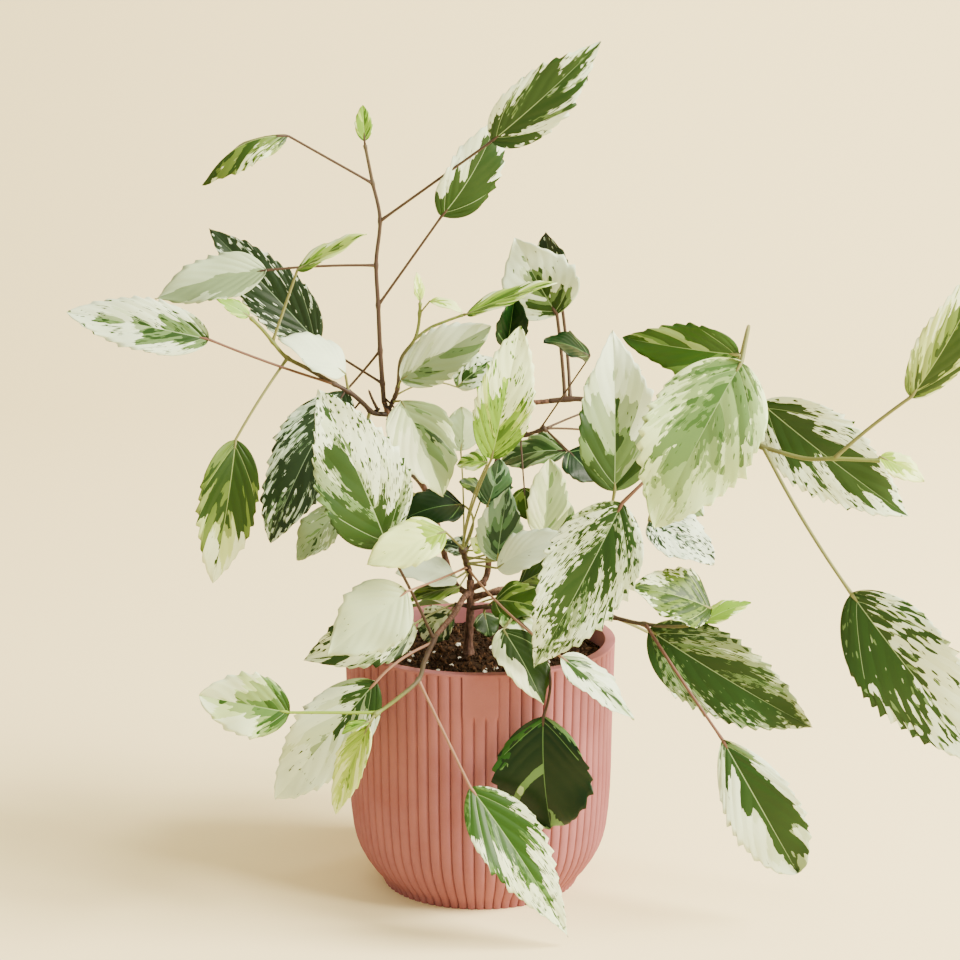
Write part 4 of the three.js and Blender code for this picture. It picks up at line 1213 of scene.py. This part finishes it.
def alongMidrib(midrib, s):
    start, bend, end = midrib[:3]
    s = s[:, None]
    tangent = 2 * (1 - s) * (bend - start) + 2 * s * (end - bend)
    return bowed(start, bend, end, s), tangent / np.linalg.norm(tangent, axis=1)[:, None]


def bladeGrid(length, half):
    # a grid by side vein and distance from the midrib, and which triangles lie on a vein
    spacing = blade["grid"] * (blade["smallGrid"] if length < blade["small"] else 1)
    rows = np.linspace(0, 1, max(16, round(1.55 * length / spacing)))
    narrow = blade["veinWidth"] / blade["veinSlope"] / length / 2
    basal = blade["basalVein"]
    rows = rows[np.abs(rows - basal) > 2 * narrow]
    rows = np.sort(np.concatenate([rows, [basal - narrow, basal + narrow]]))
    rib = blade["ribWidth"] / half / 2
    columns = np.concatenate([[0, rib], np.linspace(rib, 1, max(5, round(half / spacing)))[1:]])
    columns = np.concatenate([-columns[:0:-1], columns])
    coords = np.stack([g.ravel() for g in np.meshgrid(rows, columns, indexing="ij")], 1)
    wide = len(columns)
    a = (np.arange(len(rows) - 1)[:, None] * wide + np.arange(wide - 1)).ravel()
    b, c, d = a + 1, a + wide + 1, a + wide
    onLeft = coords[a, 1] < -1e-6
    triangles = np.concatenate([np.where(onLeft, (a, b, d), (a, b, c)).T,
                                np.where(onLeft, (b, c, d), (a, c, d)).T])
    q, f = np.abs(coords[triangles].mean(1)).T
    return coords, triangles, (np.abs(q - basal) < narrow) & (f < 0.8) | (f < rib)


def colouredGrid(kind, side, length, half, shape, seed):
    # cuts the grid along the edges of its colours, and gives each triangle its shade
    coords, triangles, onVein = bladeGrid(length, half)
    paint = (length, half, shape, seed)
    fields = painted(kind, side, coords, *paint)
    pairs = edgesOf(triangles)
    there = painted(kind, side, coords[pairs].mean(1), *paint)
    guess = fields[pairs].mean(1)
    ends = [np.stack(spread(*np.abs(coords[pairs[:, k]].T), half, shape), 1) * (length, 1)
            for k in (0, 1)]
    long = np.linalg.norm(ends[0] - ends[1], axis=1) > mottling["finest"]
    missed = (there[:, :2] * guess[:, :2] < 0).any(1) & long
    if missed.any():
        fields, coords, triangles, origin = divided(
            fields, coords, triangles, pairs[missed], np.full(missed.sum(), 0.5))
        onVein = onVein[origin]
        fields = painted(kind, side, coords, *paint)
    for column in range(3):
        fields, coords, triangles, origin = cutAlong(fields, coords, triangles, column)
        onVein = onVein[origin]
    total = fields[triangles].sum(1)
    green, dark, grey = (total > 0).T
    shade = np.where(green, np.where(dark, 4, np.where(grey, 2, 3)),
                     np.where(grey & (total[:, 2] > 0.4), 1, 0))
    return coords, triangles, np.where(onVein & green, 5, shade)


def bladeFaces(coords, midrib, half, shape, fold, chance):
    # where the points of the blade lie above and beneath: toothed, folded, rippled, quilted
    facing, length = midrib[3:]
    q, t = coords.T
    f, sign = np.abs(t), np.sign(t)
    ahead, out = spread(q, f, half, shape)
    edge = 1 - (1 - q) ** blade["forward"]
    teeth = max(5, round(length / blade["toothEvery"]))
    saw = edge * teeth + np.where(sign > 0, 0.15, 0.6)
    reach = chance.uniform(0.45, 1.35, (2, teeth + 2))
    reach = reach[(sign > 0).astype(int), saw.astype(int)]
    saw = saw % 1
    tooth = np.where(saw < 0.8, saw / 0.8, (1 - saw) / 0.2) * reach - 0.5
    fade = np.clip((edge - 0.22) / 0.2, 0, 1) * f ** 6
    out = out * (1 + blade["toothDepth"] * tooth * fade)
    ahead = np.clip(ahead + 0.014 * tooth * fade * (1 - edge), 0, 1)
    centre, tangent = alongMidrib(midrib, ahead)
    up = facing - tangent * (tangent @ facing)[:, None]
    up /= np.linalg.norm(up, axis=1)[:, None]
    across = np.cross(up, tangent)
    fold = math.radians(fold) * (1 + 0.25 * chance.uniform(-1, 1))
    roll = math.radians(blade["roll"]) * chance.uniform(-1, 1) * (ahead - 0.4)
    phase = chance.uniform(0, 6.28, 2)
    wave = np.where(sign > 0, np.sin(ahead * 13 + phase[0]), np.sin(ahead * 12 + phase[1]))
    veins = np.array(blade["veins"])[int(length < blade["small"]):]
    toVein = np.abs(q[:, None] - veins).min(1) * length * blade["veinSlope"]
    span = np.diff(veins).mean() * length * blade["veinSlope"]
    swell = np.clip(toVein / (0.5 * span), 0, 1) ** 0.6
    body = np.clip(f * half / 2, 0, 1) * (1 - f ** 4)
    lift = out * math.sin(fold) * (1 + 0.5 * (ahead - 0.5)) + roll * sign * out \
        - blade["cup"] * half * f ** 2 * np.sin(np.pi * ahead) \
        + blade["ripple"] * half * wave * f ** 2.2 \
        + blade["quilt"] * min(1, half / 14) * (swell - 0.5) * body
    top = centre + across * (sign * out * math.cos(fold))[:, None] + up * lift[:, None]
    thick = blade["thickness"] * (0.55 + 0.45 * (1 - f ** 6)) \
        + blade["underRib"] * (1 - 0.8 * ahead) * np.exp(-(out / 0.55) ** 2) \
        + blade["underVein"] * np.exp(-(toVein / 0.35) ** 2) * (1 - f)
    return top, top - up * thick[:, None]


def makeBlade(row, seed):
    _, base, tip, wide, turn, arch, kind, extras = (*row, {})[:8]
    midrib = midribOf(base, tip, turn, arch)
    half = wide / 2
    seed += extras.get("chance", 0)
    chance = np.random.RandomState(seed)
    shape = tuple(np.array(blade["shape"]) + chance.uniform(-0.035, 0.035, 2))
    shape = extras.get("shape", shape)
    coords, triangles, shade = colouredGrid(kind, extras.get("side", 1), midrib[4], half, shape,
                                            seed)
    top, under = bladeFaces(coords, midrib, half, shape, extras.get("fold", blade["fold"]),
                            chance)
    count = len(top)
    borders = bordersOf(triangles)
    key = np.sort(borders, axis=1) @ (count, 1)
    _, index, times = np.unique(key, return_index=True, return_counts=True)
    rim = index[times == 1]
    a, b = borders[rim].T
    rimFaces = np.concatenate([np.stack([b, a, a + count], 1),
                               np.stack([b, a + count, b + count], 1)])
    rimShade = shade[rim % len(triangles)]
    faces = np.concatenate([triangles, triangles[:, ::-1] + count, rimFaces])
    shades = np.concatenate([shade, shade + len(shadeNames), rimShade, rimShade])
    flat = np.arange(len(faces)) >= 2 * len(triangles)
    points, faces, kept = welded(np.concatenate([top, under]), faces)
    return points, faces, shades[kept], flat[kept], {**plainKind, **kinds[kind]}["tint"]


def joinedLeaves(name, leaves):
    used = {}
    indices = []
    for _, _, shades, _, tint in leaves:
        table = np.zeros(2 * len(shadeNames), int)
        for shade in np.unique(shades):
            under, plain = divmod(int(shade), len(shadeNames))
            table[shade] = used.setdefault((tint, plain, under), len(used))
        indices.append(table[shades])
    return newMesh(name, *joined([leaf[:2] for leaf in leaves]),
                   [leafMaterial(*key) for key in used], np.concatenate(indices),
                   np.concatenate([leaf[3] for leaf in leaves]))


stalks = {
    "radius": 0.62,
    "sides": 8,
    "spacing": 2,
    "kinds": {  # petioles are smooth green skin, flushed where the sun has caught them
        "olive": "#74774a", "green": "#7f9a38", "pink": "#674a3f", "brown": "#46362d",
        "tan": "#8d6a58",
    },
    "shootSides": 12,
    "shootSpacing": 1.2,
    # the skin of a shoot as it ages, from old wood to the growing tip
    "skin": ("#2c201b", "#43332c", "#544c3a", "#66703a", "#80924a", "#9dae6c"),
    "shades": 4,  # from one of these to the next
    "mostTriangles": 160000,  # in one piece of joined leaves
}


def skinMaterial(age):  # smooth and a little waxy, woody brown at the foot of a shoot
    step = round(age * stalks["shades"])
    name = f"shootSkin{step}"
    if name not in skins:
        low = min(step // stalks["shades"], len(stalks["skin"]) - 2)
        share = step / stalks["shades"] - low
        colour = blended(stalks["skin"][low], stalks["skin"][low + 1], share)
        skins[name] = newMaterial(name, colour, 0.5)
    return skins[name]


def makeShoot(shoot, stem):  # the stem, swollen at each node, and the age of each of its faces
    length = lengthsAlong(stem)[-1]
    line = resampled(stem, stalks["shootSpacing"])
    share = np.linspace(0, 1, len(line))
    foot, top = shoot["radii"]
    radii = foot + (top - foot) * share
    for row in shoot["leaves"]:
        radii = radii + 0.36 * np.exp(-((share - row[0]) * length / 1.3) ** 2)
    tip = np.clip((1 - share) * length / 1.2, 0, 1) ** 0.5
    points, triangles = tube(line, np.maximum(radii * tip, 0.1), stalks["shootSides"])
    place = np.minimum(triangles.min(1) // stalks["shootSides"], len(line) - 1) / len(line)
    ages = shoot.get("skin", (1, 2, 3))
    return (points, triangles), np.interp(place, np.linspace(0, 1, len(ages)), ages)


def makePetiole(row, stem, radius):  # from the shoot to a few mm into the back of the midrib
    at, base, tip, _, turn, arch, _, extras = (*row, {})[:8]
    midrib = midribOf(base, tip, turn, arch)
    start, end = pointAt(stem, at), midrib[0]
    bend = placed(extras["via"]) if "via" in extras else (start + end) / 2
    arc = bowed(start, bend, end, np.linspace(0, 1, 24)[:, None])
    facing, length = midrib[3:]
    centre, _ = alongMidrib(midrib, np.linspace(0, min(6 / length, 0.4), 5)[1:])
    sunk = centre - facing * np.linspace(0.1, 0.45, 4)[:, None]
    line = resampled(np.concatenate([arc, sunk]), stalks["spacing"])
    along = np.linspace(0, 1, len(line))
    radius = radius * (0.78 if length < 30 else 1)
    radii = radius * (1 + 0.35 * np.exp(-(along / 0.06) ** 2)
                      + 0.22 * np.exp(-((along - 0.93) / 0.05) ** 2) - 0.12 * along)
    radii[-2:] *= (0.8, 0.35)
    return tube(line, radii, stalks["sides"])


def makeTwigs(name, shoots):
    shells, indices = [], []
    materials = list(petioleSkins)
    for shoot in shoots:
        stem = route(shoot["stem"])
        shell, ages = makeShoot(shoot, stem)
        shells.append(shell)
        for age in ages:
            material = skinMaterial(age)
            if material not in materials:
                materials.append(material)
            indices.append(materials.index(material))
        for row in shoot["leaves"]:
            shells.append(makePetiole(row, stem, shoot.get("petiole", stalks["radius"])))
            kind = (*row, {})[7].get("stalk", shoot.get("stalk", "olive"))
            indices += [list(stalks["kinds"]).index(kind)] * len(shells[-1][1])
    return newMesh(name + "_twigs", *joined(shells), materials, indices)


def makeSpray(name, shoots, seed):
    lots = [[]]  # a full spray is joined in lots, so that no piece has too many triangles
    filled = 0
    for row in [row for shoot in shoots for row in shoot["leaves"]]:
        seed += 97
        leaf = makeBlade(row, seed)
        if filled + len(leaf[1]) > stalks["mostTriangles"]:
            lots.append([])
            filled = 0
        lots[-1].append(leaf)
        filled += len(leaf[1])
    for number, lot in enumerate(lots):
        handOver(joinedLeaves(f"{name}_leaves{number or ''}", lot), "foliage", name)
    handOver(makeTwigs(name, shoots), "bark", name)


petioleSkins = [newMaterial(kind + "Petiole", colour, 0.48)
                for kind, colour in stalks["kinds"].items()]
for number, (name, shoots) in enumerate(sprays.items()):
    makeSpray(name, shoots, 1000 * (number + 1))
